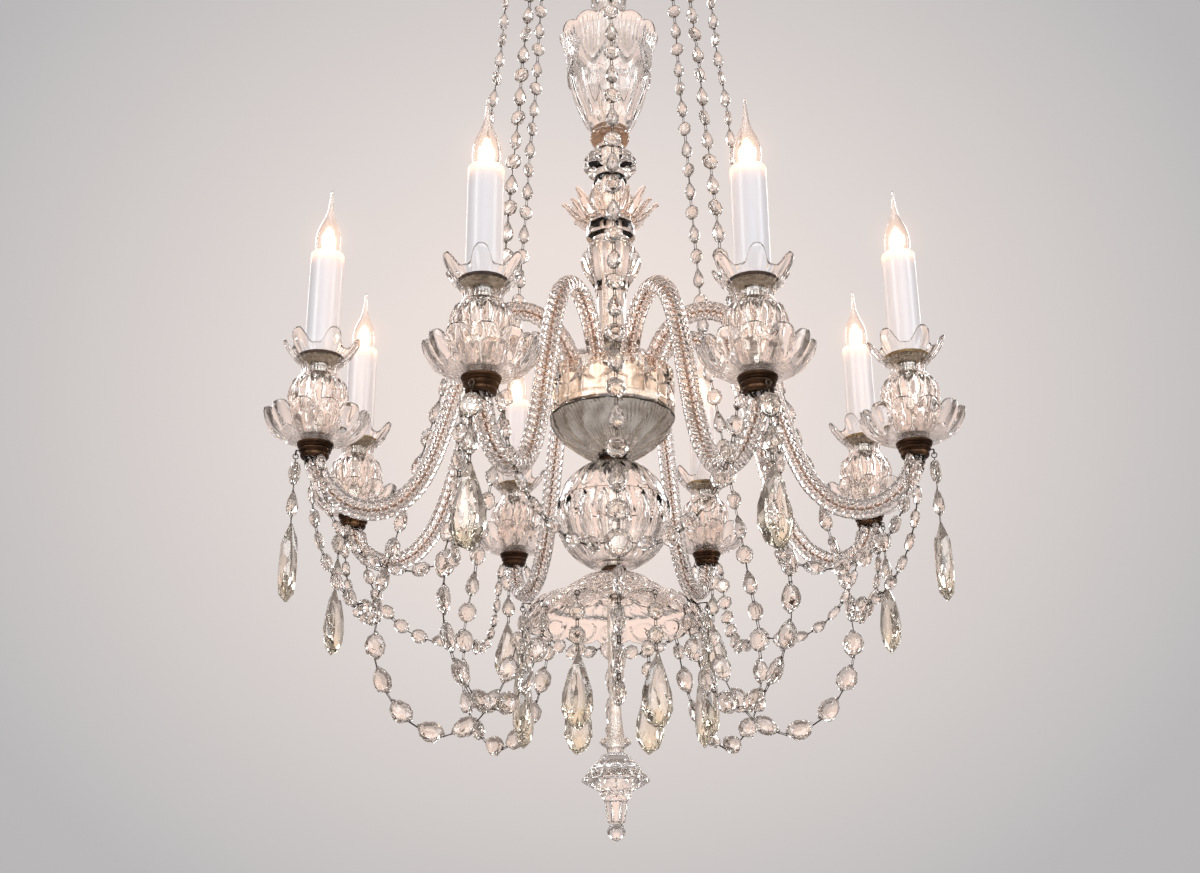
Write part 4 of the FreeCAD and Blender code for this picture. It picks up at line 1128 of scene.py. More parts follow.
stem_piece("upper_stem", "upper_stem_glass", [(BORE, 690.0), (BORE, 407.5), (9.0, 407.5), (9.0, 540.0), (9.6, 548.0), (13.0, 556.0), (19.0, 566.0), (21.0, 576.0), (17.0, 588.0),
                                              (12.0, 600.0), (13.0, 622.0), (19.0, 646.0), (24.0, 664.0), (22.0, 676.0), (14.0, 684.0), (13.0, 690.0)], 96,
           flutes(12, 1.3, 556, 680, 12), corners=(0, 1, 2, 15), step=4.0)


# stem vase: flutes, petalled rim, lobes that hang over its shoulder
def vase_rim(az):
    return 1.0 - 0.035 * (1.0 - petal(wave(az, 12), 0.97))


def big_vase_mod(r, az, z, t, side):
    w = wave(az, 12)
    fl = (1 - (2 * np.abs(w)) ** 2) * smooth(z, 407, 420) * (1 - smooth(z, 455, 474))
    r = r - np.where(side > 0, 1.7, 0.7) * fl
    wl = np.abs(wave(az, 8, 0.5)) * 2
    low = 466.0 + 34.0 * wl ** 1.6
    hang = smooth(z, low, low + 3.2) * (1 - 0.35 * smooth(z, 500, 520))
    bulge = 1 - 0.55 * wl ** 2
    r = r + np.where(side > 0, 3.6 * hang * bulge * (1 - smooth(z, 516, 524)), 0.0)
    fan = 0.5 * np.cos(TAU * wave(az, 56)) * smooth(z, low + 4, low + 10) * (1 - smooth(z, 518, 525))
    r = r + np.where(side > 0, fan, 0.0)
    rim = smooth(z, 508, 526)
    z = z + rim * 0.9 * np.cos(TAU * w)
    return r, z


g = Geo()
shell(g, [(BORE, 400.0), (20.0, 400.0), (22.0, 404.0), (25.5, 410.0), (31.5, 425.0), (37.5, 440.0), (42.0, 455.0), (44.5, 470.0), (45.0, 495.0), (46.5, 508.0), (51.0, 519.0), (55.6, 526.0)],
      [(BORE, 407.5), (16.0, 407.5), (21.5, 414.0), (27.5, 427.0), (33.5, 442.0), (38.0, 456.0), (40.6, 470.0), (41.2, 495.0), (42.8, 511.0), (47.0, 523.0), (52.0, 528.6)],
      224, vase_rim, big_vase_mod, None, steps=(2.2, 3.2), lip=0.7, warp_from=0.8, sharp_out=(1,), sharp_in=(1,))
make("stem_vase", "root", g, M_CLEAR, ["vase_glass"], sharp=38)

stem_piece("vase_knop", "vase_foot", [(BORE, 400.0), (BORE, 380.0), (14.0, 380.0), (14.5, 384.0), (20.0, 390.0), (22.0, 395.0), (20.4, 399.2), (19.0, 400.0)], 64,
           lambda r, a, z: (r - np.where(r > 15, 1.1 * (2 * np.abs(wave(a, 16))), 0.0), z), painted_lamplight(0.75), corners=(1, 2, 7), step=1.8)
stem_piece("lobed_collar", "scalloped_collar", [(BORE, 380.0), (BORE, 345.0), (17.0, 345.0), (17.5, 350.0), (24.6, 352.6), (28.4, 356.0), (29.0, 362.0), (28.4, 368.0), (24.0, 372.0), (15.4, 375.0), (14.0, 380.0)],
           128, lambda r, a, z: (r - np.where(r > 17.6, 1.0, 0.0) * smooth(r, 17.6, 26) * 5.2 * (1 - petal(wave(a, 8), 0.94)), z), painted_lamplight(0.25), mat=M_CUT,
           corners=(1, 2, 10), step=1.8)
stem_piece("fluted_baluster", "baluster_glass", [(BORE, 345.0), (BORE, 289.0), (19.0, 289.0), (21.5, 297.0), (25.0, 304.0), (25.8, 310.0), (22.5, 324.0), (19.5, 334.0), (17.0, 345.0)], 96,
           flutes(12, 1.8, 290, 343, 6), painted_lamplight(0.5), corners=(1, 2, 8), step=2.0)


# leaves round the baluster: two rows of narrow curled leaves
def leaf(g, az, size, lean, twist):
    """one spoon-shaped leaf that grows up and out from the ring at the baluster's foot"""
    n, m = 15, 9
    t = np.linspace(0, 1, n)
    r = 24.2 + size * (26.0 * t ** 0.85 + 3.2 * t ** 6)
    z = 291.8 + size * (lean * t ** 1.7 - 2.6 * t ** 9)
    w = 8.6 * size * np.sin(math.pi * np.clip(t * 0.86 + 0.11, 0, 1)) ** 0.75
    u = np.linspace(-1, 1, m)
    tw = np.radians(twist) * t
    th = 1.5 * np.sqrt(np.maximum(0.0, 1 - u ** 2)) + 0.25
    dr, dz = np.gradient(r), np.gradient(z)
    ln = np.sqrt(dr ** 2 + dz ** 2)
    nr, nz = -dz / ln, dr / ln
    rows = []
    for i in range(n):
        dish = 2.6 * size * t[i] * (u ** 2) - 0.5 * np.cos(u * 9.0) * t[i]
        for side in (1, -1):
            uu = u if side > 0 else u[::-1][1:-1]
            dd = dish if side > 0 else dish[::-1][1:-1]
            tt_ = th if side > 0 else th[::-1][1:-1]
            off = dd + side * tt_ * (0.55 + 0.45 * math.sin(math.pi * min(1.0, t[i] + 0.2)))
            x = w[i] * uu * math.cos(tw[i]) - off * math.sin(tw[i])
            y = w[i] * uu * math.sin(tw[i]) + off * math.cos(tw[i])
            rows.append(np.stack([x, -(r[i] + nr[i] * y), z[i] + nz[i] * y], 1))
    per = m + m - 2
    v = np.concatenate(rows)
    faces = [grid_faces(n, per, False), np.array([list(range(per))[::-1], [(n - 1) * per + i for i in range(per)]])]
    t_ = math.radians(az)
    v = np.stack([v[:, 0] * math.cos(t_) - v[:, 1] * math.sin(t_), v[:, 0] * math.sin(t_) + v[:, 1] * math.cos(t_), v[:, 2]], 1)
    # painted warm lamplight all over the leaf
    g.add(v, faces, (0.0, 0.6, 0.0))


g = Geo()
for k in range(8):
    leaf(g, 45.0 * k + rng.uniform(-3, 3), rng.uniform(0.93, 1.0), 23.0 + rng.uniform(-2, 2), rng.uniform(-14, 14))
    leaf(g, 45.0 * k + 22.5 + rng.uniform(-3, 3), rng.uniform(0.72, 0.80), 30.0 + rng.uniform(-2, 2), rng.uniform(-18, 18))
# the ring at the leaves' foot, with painted warm lamplight all over
lathe(g, run([(22.4, 290.3), (25.0, 289.6), (27.6, 291.6), (28.0, 294.4), (25.6, 295.6), (22.6, 294.6)], 1.4), 64, None, lambda r, a, z: (0 * r, 0.5 + 0 * r, 0 * r))
make("glass_leaves", "root", g, M_CUT, ["leaf_crown"], sharp=50)


def gourd_mod(r, a, z):
    w = 2 * np.abs(wave(a, 10))
    belly = (1 - w ** 2) * smooth(z, 206, 222) * (1 - smooth(z, 258, 266)) * (r > 9)
    band = (1 - w ** 2) * smooth(z, 271, 273) * (1 - smooth(z, 285, 287)) * (r > 9)
    col = (1 - (2 * np.abs(wave(a, 8))) ** 2) * smooth(z, 160, 166) * (1 - smooth(z, 206, 212)) * (r > 9)
    return r - 2.4 * belly - 1.6 * band - 1.2 * col, z


stem_piece("gourd_knop", "gourd_glass", [(BORE, 289.0), (BORE, 151.0), (24.0, 151.0), (19.0, 158.0), (16.5, 170.0), (17.0, 200.0), (18.5, 215.0), (26.0, 227.0), (31.0, 238.0), (32.0, 246.0),
                                         (29.0, 256.0), (22.0, 265.0), (21.0, 269.0), (26.0, 272.0), (26.0, 286.0), (23.0, 289.0)], 120, gourd_mod, painted_lamplight(0.55),
           corners=(0, 1, 2, 12, 13, 14, 15), step=2.4)


def dome_mod(r, a, z):
    row = np.floor((z - 112.4) / 6.4)
    w = wave(a, 16, 0.5 * (row % 2))
    k = np.abs(((z - 112.4) / 6.4) % 1.0 - 0.5) * 2
    return r - np.where(r > 9, 1.4 * np.maximum(2 * np.abs(w), k), 0.0), z


stem_piece("silvered_dome", "hub_dome", [(BORE, 151.0), (BORE, 112.4), (30.0, 112.4), (31.0, 118.0), (28.5, 130.0), (24.0, 140.0), (17.0, 147.0), (12.0, 151.0)], 96,
           dome_mod, mat=M_DOME, corners=(0, 1, 2, 7), step=3.2, sharp=15)


# star-cut band round the receiver, built facet by facet
def star_band():
    g = Geo()
    n = 12
    z0, z1, z2, z3 = 67.5, 79.0, 114.0, 115.2

    def rad(z):
        return float(np.interp(z, [67.5, 80.0, 115.0], [63.3, 64.6, 64.3]))

    pts, faces, index = [], [], {}

    def vert(a, z, cut):
        key = (round(a % 360.0, 3), round(z, 3))
        if key not in index:
            index[key] = len(pts)
            pts.append(polar(rad(z) - cut, math.radians(a), z))
        return index[key]

    zc = (z1 + z2) / 2
    hw, hh = 180.0 / n, (z2 - z1) / 2
    for k in range(n):
        ac = 360.0 * k / n
        c = vert(ac, zc, 3.2)
        rays = []
        for j in range(12):
            th = math.radians(30.0 * j + 0.0)
            if j % 2 == 0:
                q = 1.0
                da, dz = math.sin(th), math.cos(th)
                f = 1.0 / max(abs(da), abs(dz))
                rays.append(vert(ac + hw * da * f * (1 if j % 6 else 1), zc + hh * dz * f, 0.15 if j % 6 else 0.6))
            else:
                rays.append(vert(ac + hw * 0.36 * math.sin(th), zc + hh * 0.36 * math.cos(th), 0.0))
        for j in range(12):
            faces.append((c, rays[j], rays[(j + 1) % 12]))
        # corners and edge strips outside the star
        edge = [vert(ac + hw * x, zc + hh * y, 0.15 if abs(abs(x) - 1) < 1e-6 and abs(abs(y) - 1) < 1e-6 else 0.15) for x, y in ((1, 1), (1, -1), (-1, -1), (-1, 1))]
        ring = []
        for j in range(12):
            ring.append(rays[j])
        # quads between neighbouring outer tips over each inner point
        tips = [rays[0], rays[2], rays[4], rays[6], rays[8], rays[10]]
        inner = [rays[1], rays[3], rays[5], rays[7], rays[9], rays[11]]
        faces.append((tips[0], edge[0], inner[0]))
        faces.append((edge[0], tips[1], inner[0]))
        faces.append((tips[1], tips[2], inner[1]))
        faces.append((tips[2], edge[1], inner[2]))
        faces.append((edge[1], tips[3], inner[2]))
        faces.append((tips[3], edge[2], inner[3]))
        faces.append((edge[2], tips[4], inner[3]))
        faces.append((tips[4], tips[5], inner[4]))
        faces.append((tips[5], edge[3], inner[5]))
        faces.append((edge[3], tips[0], inner[5]))
    # rows above and below use the same azimuths as the edge points of the stars
    tops = sorted({k[0] for k in index if abs(k[1] - round(z2, 3)) < 1e-3})
    lows = sorted({k[0] for k in index if abs(k[1] - round(z1, 3)) < 1e-3})

    def strip(azs, za, rows):
        prev = [vert(a, za, 0.15) for a in azs]
        for rr, zz_, fn in rows:
            cur = []
            for i, a in enumerate(azs):
                pts.append(polar(rr + fn(i), math.radians(a), zz_))
                cur.append(len(pts) - 1)
            for i in range(len(azs)):
                j = (i + 1) % len(azs)
                faces.append((prev[i], prev[j], cur[j], cur[i]))
            prev = cur
        return prev

    none = lambda i: 0.0
    fan = lambda i: 0.9 if i % 2 else -0.5
    top = strip(tops, z2, [(63.6, z3, none), (61.4, z3 + 0.2, none), (60.7, 108.0, none), (60.4, 100.0, none), (60.2, 84.0, none), (60.0, 67.5, none)])
    low = strip(lows, z1, [(64.3, 76.0, fan), (63.9, 72.5, fan), (63.4, 69.0, fan), (62.8, 67.5, none)])
    assert len(tops) == len(lows)
    for i in range(len(tops)):
        j = (i + 1) % len(tops)
        faces.append((top[i], top[j], low[j], low[i]))
    v = np.array(pts)
    g.v.append(v)
    # painted warm lamplight all over the band
    g.c.append(np.tile([[0.0, 0.85, 0.0]], (len(v), 1)))
    g.f = [list(f) for f in faces]
    g.n = len(v)
    return g


M_STAR = glass("star_glass", tint=(0.975, 0.95, 0.925), lamplight_tint=(0.965, 0.86, 0.76), ior=1.55, wobble=0.0, painted_lamplight=0.1, rough=0.0)
make("star_cut_band", "root", star_band(), M_STAR, ["star_bowl"], flat=True)


# fluted bowl under it: swirling feather flutes
def bowl_mod(r, az, z, t, side):
    w = wave(az + 0.30 * smooth(t, 0, 1) * np.cos(t * 2), 16)
    f = 1 - (2 * np.abs(w)) ** 2
    k = smooth(t, 0.10, 0.3) * (1 - smooth(t, 0.92, 1.0))
    fine = np.abs(wave(az + 0.30 * t, 80)) * 2
    d = (2.3 * f + 0.7 * fine) * k
    return r - 0.55 * d, z + 0.75 * d


g = Geo()
# the paint puts warm lamplight into the colour, more of it towards the rim
shell(g, [(BORE, 22.0), (17.0, 22.0), (30.0, 28.5), (44.0, 38.0), (56.0, 49.0), (62.5, 60.0), (64.0, 67.5)],
      [(BORE, 29.0), (17.0, 29.0), (28.5, 34.0), (41.5, 42.5), (52.0, 52.0), (57.5, 61.0), (60.0, 67.5)],
      320, None, bowl_mod, lambda r, a, z, t, s: (0 * t, 0.15 * t, 0 * t), steps=(2.4, 5.0), sharp_out=(1,), sharp_in=(1,))
M_BOWL = glass("smoke_glass", tint=(0.97, 0.965, 0.95), lamplight_tint=(0.98, 0.92, 0.85), ior=1.52, wobble=0.02, painted_lamplight=0.3)
bowl = make("feather_bowl", "root", g, M_BOWL, ["fluted_bowl"], sharp=34)
M_SILVERING = metal("bowl_silvering", (0.96, 0.94, 0.90), (0.80, 0.76, 0.70), (0.06, 0.18), scale=120.0, metallic=1.0, bump=0.1)
bowl.data.materials.append(M_SILVERING)
for poly in bowl.data.polygons:
    c = poly.center
    h = c[2] / MM + H
    wall_in = float(np.interp(h, [29.0, 34.0, 42.5, 52.0, 61.0, 67.5], [17.0, 28.5, 41.5, 52.0, 57.5, 60.0]))
    if h > 29.2 and math.hypot(c[0], c[1]) / MM < wall_in + 0.8:
        poly.material_index = 1


g = Geo()
lathe(g, run([(BORE, 22.0), (BORE, 17.5), (16.0, 17.5), (16.8, 18.1), (16.4, 18.9), (17.0, 19.8), (16.6, 20.9), (16.9, 21.4), (16.2, 22.0)], 1.5, sharp=(1, 2, 4, 6, 8)), 64)
lathe(g, run([(BORE, -88.0), (BORE, -95.0), (10.6, -95.0), (11.6, -94.0), (12.5, -92.4), (12.5, -90.6), (11.6, -89.0), (10.8, -88.0)], 1.5, sharp=(1, 2, 7)), 56)
make("bronze_collars", "root", g, M_BRONZE, ["neck_collars"], sharp=35)

# globe in two halves
GC, GR = -35.0, 57.5


def globe_mod(r, a, z):
    w = wave(a, 18, 0.5)
    cut = lens(w, z, -52.0, 27.0, 0.36, 3.2) + lens(w, z, -4.0, 13.5, 0.36, 2.6)
    fine = 0.35 * np.maximum(0, np.cos(TAU * wave(a, 36))) * smooth(z, -86, -80) * (1 - smooth(z, -80, -74))
    return np.where(r > 54.0 * 0 + 8, r * (1 - (cut + fine) / GR), r), z


def globe_half(name, cad, z0, z1, zi1, step_o):
    zo = np.arange(z0, z1, step_o)
    zo = np.append(zo, z1)
    out = [(math.sqrt(GR ** 2 - (z - GC) ** 2), z) for z in zo]
    zi = np.linspace(z0, zi1, 14)
    inn = [(math.sqrt((GR - 4.0) ** 2 - (z - GC) ** 2), z) for z in zi]
    rows = [(o, 1) for o in out] + [((BORE, z1), 0), ((BORE, zi1), 0)] + [(i, 0) for i in inn[::-1]]
    q = np.array([p for p, _ in rows])
    flag = np.array([f for _, f in rows], float)
    g = Geo()
    segs = 288

    def mod(r, a, z):
        rr, zz_ = globe_mod(r, a, z)
        return np.where(flag[:, None] > 0, rr, r), z

    lathe(g, q, segs, mod, painted_lamplight(0.12))
    make(name, "root", g, M_CLEAR, [cad], sharp=30)


globe_half("globe_top_half", "globe_upper", -21.0, 17.5, 13.5, 1.7)
globe_half("globe_bottom_half", "globe_lower", -21.0, -88.0, -84.0, -2.2)


# skirt dish
def skirt_trim(az):
    return 1.0 - 0.055 * (1.0 - petal(wave(az, 16), 0.96))


def skirt_mod(r, az, z, t, side):
    w = wave(az, 16)
    fl = np.cos(TAU * w) * smooth(t, 0.62, 0.8)
    r = r + 1.0 * fl * (1 - 0.4 * smooth(t, 0.95, 1))
    loops = np.abs(np.sqrt((w * 2) ** 2 + ((t - 0.86) / 0.13) ** 2) - 0.75)
    r = r - np.where(side > 0, 1.7 * np.maximum(0, 1 - loops / 0.20), 0.0)
    w2 = wave(az + 0.9 * (t - 0.5), 32)
    vane = np.maximum(0, 1 - (np.abs(w2) / 0.16)) * smooth(t, 0.36, 0.42) * (1 - smooth(t, 0.70, 0.76))
    z = z + np.where(side > 0, 1.2 * vane, 0.0)
    star = 2 * np.abs(wave(az, 32)) * smooth(t, 0.14, 0.22) * (1 - smooth(t, 0.5, 0.6))
    z = z - np.where(side > 0, 1.9 * (1 - star) * smooth(t, 0.14, 0.22) * (1 - smooth(t, 0.62, 0.72)), 0.0)
    return r, z


g = Geo()
# the paint puts warm lamplight evenly into the colour of the skirt
shell(g, [(BORE, -99.0), (14.0, -99.0), (25.0, -101.2), (39.0, -110.0), (48.0, -116.4), (58.5, -121.6), (68.5, -125.2), (77.0, -129.3), (82.6, -135.0), (84.6, -140.5), (85.4, -146.8)],
      [(BORE, -95.0), (14.0, -95.0), (26.0, -97.0), (41.0, -106.0), (50.0, -112.5), (60.0, -117.5), (70.0, -121.0), (79.5, -125.5), (86.0, -132.5), (88.0, -140.0), (88.6, -146.8)],
      256, skirt_trim, lambda r, a, z, t, s: skirt_mod(r, a, z, t, -s),
      lambda r, a, z, t, s: (0 * t, 0.25 + 0 * t, 0 * t),
      steps=(4.0, 2.2), lip=0.6, warp_from=0.8, sharp_out=(1,), sharp_in=(1,))
make("skirt_bell", "root", g, M_CLEAR, ["skirt_dish"], sharp=36)

stem_piece("finial_shaft", "finial_stem", [(BORE, -99.0), (BORE, -262.0), (9.5, -262.0), (15.0, -258.5), (15.0, -255.0), (9.0, -252.0), (8.0, -247.0), (8.0, -150.0), (8.4, -104.0), (10.0, -99.0)], 48,
           lambda r, a, z: (r - np.where((r > 7.5) & (r < 9.2), 0.7 * (1 - (2 * np.abs(wave(a, 8))) ** 2), 0.0) - np.where(r > 12, 1.0 * (2 * np.abs(wave(a, 12))), 0.0), z), painted_lamplight(0.08),
           corners=(0, 1, 2, 3, 4, 5, 9), step=4.0)


# finial: stepped cut disc, tapering drop, ball with a point
def finial_mod(r, a, z):
    disc = (z < -276) & (z > -300) & (r > 15)
    row = np.where(z > -292, 0.0, 0.5)
    w = 2 * np.abs(wave(a, 16, 0) + 0)
    r = r - np.where(disc, 2.0 * w * smooth(r, 15, 30), 0.0)
    drop_ = (z < -304) & (z > -331)
    r = r - np.where(drop_, 1.3 * (1 - (2 * np.abs(wave(a, 8))) ** 2), 0.0)
    ball = (z < -332)
    r = r - np.where(ball, 0.5 * (2 * np.abs(wave(a, 6))), 0.0)
    return np.maximum(r, 0.3), z


g = Geo()
lathe(g, np.concatenate([[[0.0, -262.0]], run([(8.5, -262.2), (8.5, -267.0), (14.0, -270.0), (16.0, -274.0), (22.0, -278.0), (24.0, -282.0), (31.4, -290.2), (32.0, -292.0), (31.4, -293.8),
                                            (24.0, -298.0), (16.0, -302.0), (14.5, -308.0), (12.0, -310.0), (9.0, -329.0), (5.5, -331.5), (8.0, -334.5), (9.0, -338.5), (6.0, -343.5), (1.2, -346.6)], 2.0,
                                              sharp=(1, 2, 3, 4, 5, 6, 8, 9, 10, 11, 12, 13, 14)), [[0.0, -347.0]]]), 96, finial_mod)
make("cut_finial", "root", g, M_CUT, ["finial_glass"], sharp=22)

# ------------------------------------------------------------------ metalwork kept from the frame
def plate_material():
    """plated receiver: bright underside, nearly black at the lower part of its outer edge"""
    m, nt, out = new_material("receiver_plating")
    b = node(nt, "ShaderNodeBsdfPrincipled", Metallic=0.6)
    co = nt.nodes.new("ShaderNodeTexCoord")
    sp = nt.nodes.new("ShaderNodeSeparateXYZ")
    link(nt, co.outputs["Object"], sp.inputs[0])
    flat = nt.nodes.new("ShaderNodeVectorMath")
    flat.operation = "MULTIPLY"
    link(nt, co.outputs["Object"], flat.inputs[0])
    flat.inputs[1].default_value = (1, 1, 0)
    ln = nt.nodes.new("ShaderNodeVectorMath")
    ln.operation = "LENGTH"
    link(nt, flat.outputs["Vector"], ln.inputs[0])
    rim = nt.nodes.new("ShaderNodeMapRange")
    rim.interpolation_type = "SMOOTHSTEP"
    link(nt, ln.outputs["Value"], rim.inputs["Value"])
    rim.inputs["From Min"].default_value, rim.inputs["From Max"].default_value = 0.0535, 0.0560
    low = nt.nodes.new("ShaderNodeMapRange")
    link(nt, sp.outputs["Z"], low.inputs["Value"])
    low.inputs["From Min"].default_value, low.inputs["From Max"].default_value = (73.5 - H) * MM, (72.0 - H) * MM
    mul = nt.nodes.new("ShaderNodeMath")
    mul.operation = "MULTIPLY"
    link(nt, rim.outputs["Result"], mul.inputs[0])
    link(nt, low.outputs["Result"], mul.inputs[1])
    n1 = node(nt, "ShaderNodeTexNoise", Scale=90.0, Detail=4.0)
    link(nt, co.outputs["Object"], n1.inputs["Vector"])
    base = ramp(nt, n1.outputs["Fac"], [(0.35, (0.80, 0.70, 0.62)), (0.6, (0.93, 0.87, 0.82))])
    mix = nt.nodes.new("ShaderNodeMix")
    mix.data_type = "RGBA"
    link(nt, mul.outputs[0], mix.inputs["Factor"])
    link(nt, base.outputs["Color"], mix.inputs["A"])
    mix.inputs["B"].default_value = (0.05, 0.035, 0.025, 1)
    link(nt, mix.outputs["Result"], b.inputs["Base Color"])
    mr = nt.nodes.new("ShaderNodeMapRange")
    link(nt, n1.outputs["Fac"], mr.inputs["Value"])
    mr.inputs["To Min"].default_value, mr.inputs["To Max"].default_value = 0.18, 0.42
    link(nt, mr.outputs["Result"], b.inputs["Roughness"])
    bp = node(nt, "ShaderNodeBump", Strength=0.3, Distance=0.0008)
    link(nt, n1.outputs["Fac"], bp.inputs["Height"])
    link(nt, bp.outputs["Normal"], b.inputs["Normal"])
    link(nt, b.outputs[0], out.inputs["Surface"])
    return m


for cad, mat in (("hang_eye", M_BRONZE), ("crown_ring", M_BRASS), ("stem_rod", M_LINER), ("arm_plate", plate_material())):
    ob = frame["nodes"][cad]
    ob.data.materials.clear()
    ob.data.materials.append(mat)

# ------------------------------------------------------------------ lamps as lights
for n in NAMES:
    ld = bpy.data.lights.new("lamp_" + n, "POINT")
    ld.energy = 0.3
    ld.color = (1.0, 0.60, 0.38)
    ld.shadow_soft_size = 0.009
    lo = bpy.data.objects.new("lamp_" + n, ld)
    bpy.context.scene.collection.objects.link(lo)
    p = at(REACH, ARMS[n], 240.0)
    lo.location = (p[0] * MM, p[1] * MM, (p[2] - H) * MM)
    lo.parent = frame["bodies"]["bulb_" + n]
    lo.visible_camera = lo.visible_transmission = lo.visible_glossy = False


def softbox(name, loc, aim, size, power, color=(1, 1, 1)):
    ld = bpy.data.lights.new(name, "AREA")
    ld.shape = "RECTANGLE"
    ld.size, ld.size_y = size
    ld.energy = power
    ld.color = color
    lo = bpy.data.objects.new(name, ld)
    bpy.context.scene.collection.objects.link(lo)
    lo.location = loc
    lo.rotation_euler = (Vector(aim) - Vector(loc)).to_track_quat("-Z", "Y").to_euler()
    lo.visible_camera = False
    return lo


softbox("key_left", (-2.3, -1.9, 0.5), (0, 0, -0.65), (0.9, 1.6), 26, (0.97, 0.98, 1.0))
softbox("key_right", (2.5, -1.5, 0.3), (0, 0, -0.65), (0.9, 1.6), 22, (0.97, 0.98, 1.0))
softbox("front_fill", (0.3, -3.5, -0.1), (0, 0, -0.62), (2.6, 1.9), 52, (0.95, 0.97, 1.0))
softbox("back_left", (-2.0, 2.2, 0.9), (0, 0, -0.65), (0.6, 1.4), 12)
softbox("back_right", (2.1, 2.1, 0.7), (0, 0, -0.65), (0.6, 1.4), 12)

# ------------------------------------------------------------------ backdrop and floor
world = bpy.data.worlds.new("studio")
bpy.context.scene.world = world
world.use_nodes = True
nt = world.node_tree
nt.nodes.clear()
wout = nt.nodes.new("ShaderNodeOutputWorld")
co = nt.nodes.new("ShaderNodeTexCoord")
tilt = node(nt, "ShaderNodeMapping")
tilt.inputs["Rotation"].default_value = (-0.372, 0.0, 0.0)
link(nt, co.outputs["Generated"], tilt.inputs["Vector"])
wide = node(nt, "ShaderNodeMapping")
wide.inputs["Scale"].default_value = (1.0, 1.0, 1.15)
link(nt, tilt.outputs[0], wide.inputs["Vector"])
unit = nt.nodes.new("ShaderNodeVectorMath")
unit.operation = "NORMALIZE"
link(nt, wide.outputs[0], unit.inputs[0])
dot = nt.nodes.new("ShaderNodeVectorMath")
dot.operation = "DOT_PRODUCT"
link(nt, unit.outputs[0], dot.inputs[0])
dot.inputs[1].default_value = (0.0, 1.0, 0.0)
acos = nt.nodes.new("ShaderNodeMath")
acos.operation = "ARCCOSINE"
link(nt, dot.outputs["Value"], acos.inputs[0])
fac = nt.nodes.new("ShaderNodeMath")
fac.operation = "DIVIDE"
link(nt, acos.outputs[0], fac.inputs[0])
fac.inputs[1].default_value = math.radians(40.0)


def deg(d):
    return d / 40.0


# the backdrop wall as the camera sees it: a pool of light painted round the middle of the view, falling off to darker
# edges
wall = ramp(nt, fac.outputs[0], [(0.0, (0.875, 0.775, 0.73)), (deg(7.5), (0.84, 0.745, 0.703)), (deg(13.5), (0.735, 0.68, 0.66)), (deg(17), (0.68, 0.628, 0.612)),
                                 (deg(20.5), (0.62, 0.584, 0.572)), (deg(24), (0.555, 0.534, 0.532)), (deg(27), (0.495, 0.483, 0.488)), (deg(38), (0.45, 0.442, 0.45))])
bg_cam = nt.nodes.new("ShaderNodeBackground")
link(nt, wall.outputs["Color"], bg_cam.inputs["Color"])
# what the glass sees: the same wall in front of the camera, and a room with darker corners all round
noise = node(nt, "ShaderNodeTexNoise", Scale=2.1, Detail=2.0, Roughness=0.5)
link(nt, co.outputs["Generated"], noise.inputs["Vector"])
room = ramp(nt, noise.outputs["Fac"], [(0.38, (0.045, 0.034, 0.026)), (0.48, (0.15, 0.12, 0.10)), (0.57, (0.42, 0.36, 0.33)), (0.68, (0.80, 0.70, 0.64))])
edge = nt.nodes.new("ShaderNodeMapRange")
edge.interpolation_type = "SMOOTHSTEP"
link(nt, acos.outputs[0], edge.inputs["Value"])
edge.inputs["From Min"].default_value, edge.inputs["From Max"].default_value = math.radians(38), math.radians(56)
edge.inputs["To Min"].default_value, edge.inputs["To Max"].default_value = 0.0, 0.94
mixc = nt.nodes.new("ShaderNodeMix")
mixc.data_type = "RGBA"
link(nt, edge.outputs["Result"], mixc.inputs["Factor"])
lift = nt.nodes.new("ShaderNodeMix")
lift.data_type, lift.blend_type = "RGBA", "MULTIPLY"
lift.inputs["Factor"].default_value = 1.0
link(nt, wall.outputs["Color"], lift.inputs["A"])
lift.inputs["B"].default_value = (1.24, 1.11, 1.04, 1.0)
link(nt, lift.outputs["Result"], mixc.inputs["A"])
link(nt, room.outputs["Color"], mixc.inputs["B"])
bg_room = nt.nodes.new("ShaderNodeBackground")
link(nt, mixc.outputs["Result"], bg_room.inputs["Color"])
lp = nt.nodes.new("ShaderNodeLightPath")
mxs = nt.nodes.new("ShaderNodeMixShader")
link(nt, lp.outputs["Is Camera Ray"], mxs.inputs["Fac"])
link(nt, bg_room.outputs[0], mxs.inputs[1])
link(nt, bg_cam.outputs[0], mxs.inputs[2])
link(nt, mxs.outputs[0], wout.inputs["Surface"])
world.cycles.sampling_method = "MANUAL"
world.cycles.sample_map_resolution = 512

fm, fnt, fout = new_material("pale_floor")
fb = node(fnt, "ShaderNodeBsdfPrincipled", Roughness=0.7)
fco = fnt.nodes.new("ShaderNodeTexCoord")
fn = node(fnt, "ShaderNodeTexNoise", Scale=3.0, Detail=4.0)
link(fnt, fco.outputs["Object"], fn.inputs["Vector"])
fr = ramp(fnt, fn.outputs["Fac"], [(0.3, (0.60, 0.59, 0.59)), (0.7, (0.66, 0.65, 0.65))])
link(fnt, fr.outputs["Color"], fb.inputs["Base Color"])
link(fnt, fb.outputs[0], fout.inputs["Surface"])
me = bpy.data.meshes.new("studio_floor")
S, FZ = 14.0, -3.0
me.from_pydata([(-S, -S, FZ), (S, -S, FZ), (S, S, FZ), (-S, S, FZ)], [], [(0, 1, 2, 3)])
me.materials.append(fm)
floor = bpy.data.objects.new("studio_floor", me)
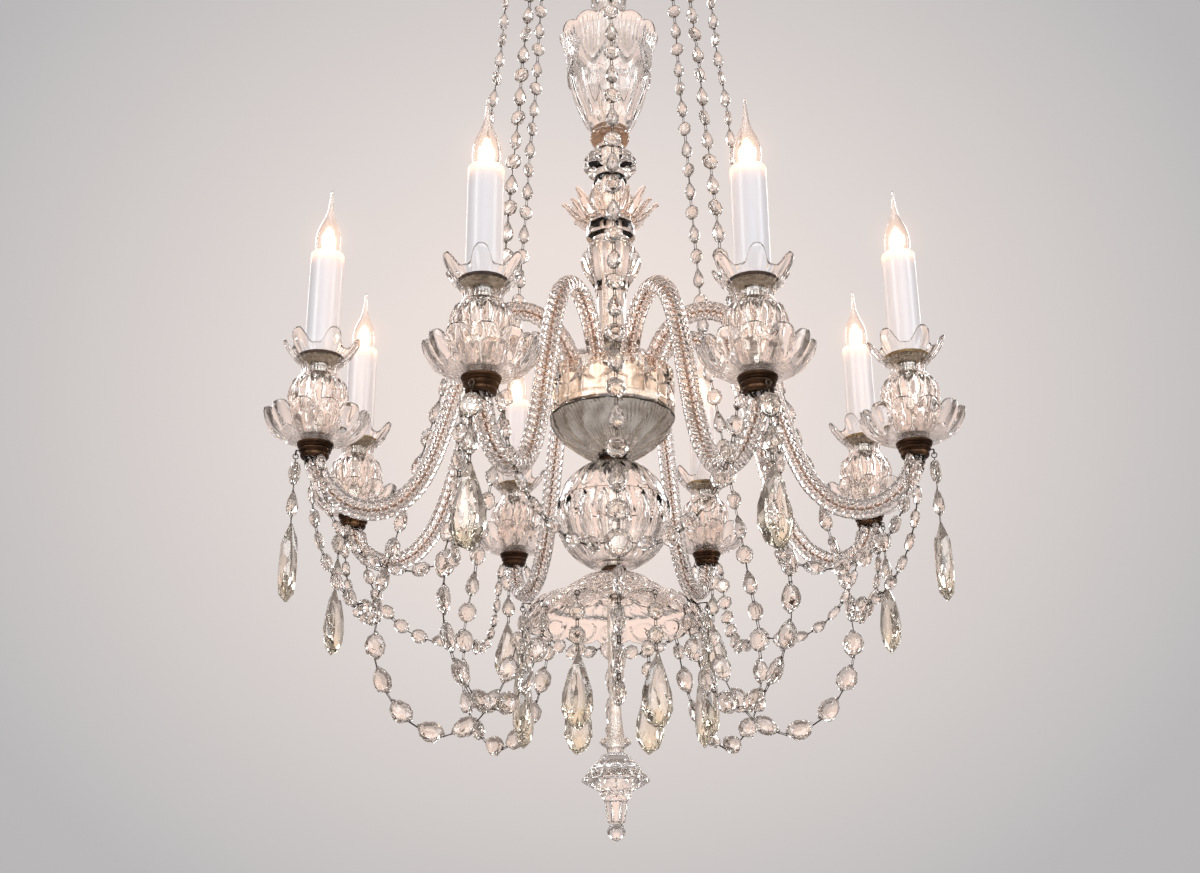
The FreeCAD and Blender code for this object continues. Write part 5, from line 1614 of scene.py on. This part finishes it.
bpy.context.scene.collection.objects.link(floor)

# ------------------------------------------------------------------ camera
cam = bpy.data.cameras.new("camera")
cam.lens, cam.sensor_width, cam.sensor_fit = 41.91, 36.0, "HORIZONTAL"
cam.clip_start, cam.clip_end = 0.02, 100.0
cob = bpy.data.objects.new("camera", cam)
bpy.context.scene.collection.objects.link(cob)
YAW, PITCHUP, ROLL = -0.0092, 0.3445, 0.0062
right = Vector((math.cos(YAW), math.sin(YAW), 0))
fwd = Vector((-math.sin(YAW) * math.cos(PITCHUP), math.cos(YAW) * math.cos(PITCHUP), math.sin(PITCHUP)))
up = Vector((math.sin(YAW) * math.sin(PITCHUP), -math.cos(YAW) * math.sin(PITCHUP), math.cos(PITCHUP)))
r2 = right * math.cos(ROLL) - up * math.sin(ROLL)
u2 = right * math.sin(ROLL) + up * math.cos(ROLL)
m3 = Matrix((r2, u2, -fwd)).transposed()
cob.matrix_world = Matrix.Translation((-0.02505, -1.33240, -1.22974)) @ m3.to_4x4()
bpy.context.scene.camera = cob

# ------------------------------------------------------------------ light paths and lamp glow
sc = bpy.context.scene
sc.cycles.max_bounces = 28
sc.cycles.transmission_bounces = 26
sc.cycles.glossy_bounces = 10
sc.cycles.diffuse_bounces = 3
sc.cycles.transparent_max_bounces = 48
sc.cycles.sample_clamp_indirect = 6.0
sc.cycles.caustics_reflective = False
sc.view_settings.view_transform = "Standard"
sc.use_nodes = True
ct = sc.node_tree
ct.nodes.clear()
rl = ct.nodes.new("CompositorNodeRLayers")
gl = ct.nodes.new("CompositorNodeGlare")
gl.glare_type = "FOG_GLOW"
gl.inputs["Threshold"].default_value = 2.2
gl.inputs["Strength"].default_value = 0.85
gl.inputs["Size"].default_value = 0.32
gl.inputs["Maximum"].default_value = 14.0
gl.inputs["Tint"].default_value = (1.0, 0.66, 0.42, 1.0)
comp = ct.nodes.new("CompositorNodeComposite")
ct.links.new(rl.outputs["Image"], gl.inputs["Image"])
ct.links.new(gl.outputs["Image"], comp.inputs["Image"])
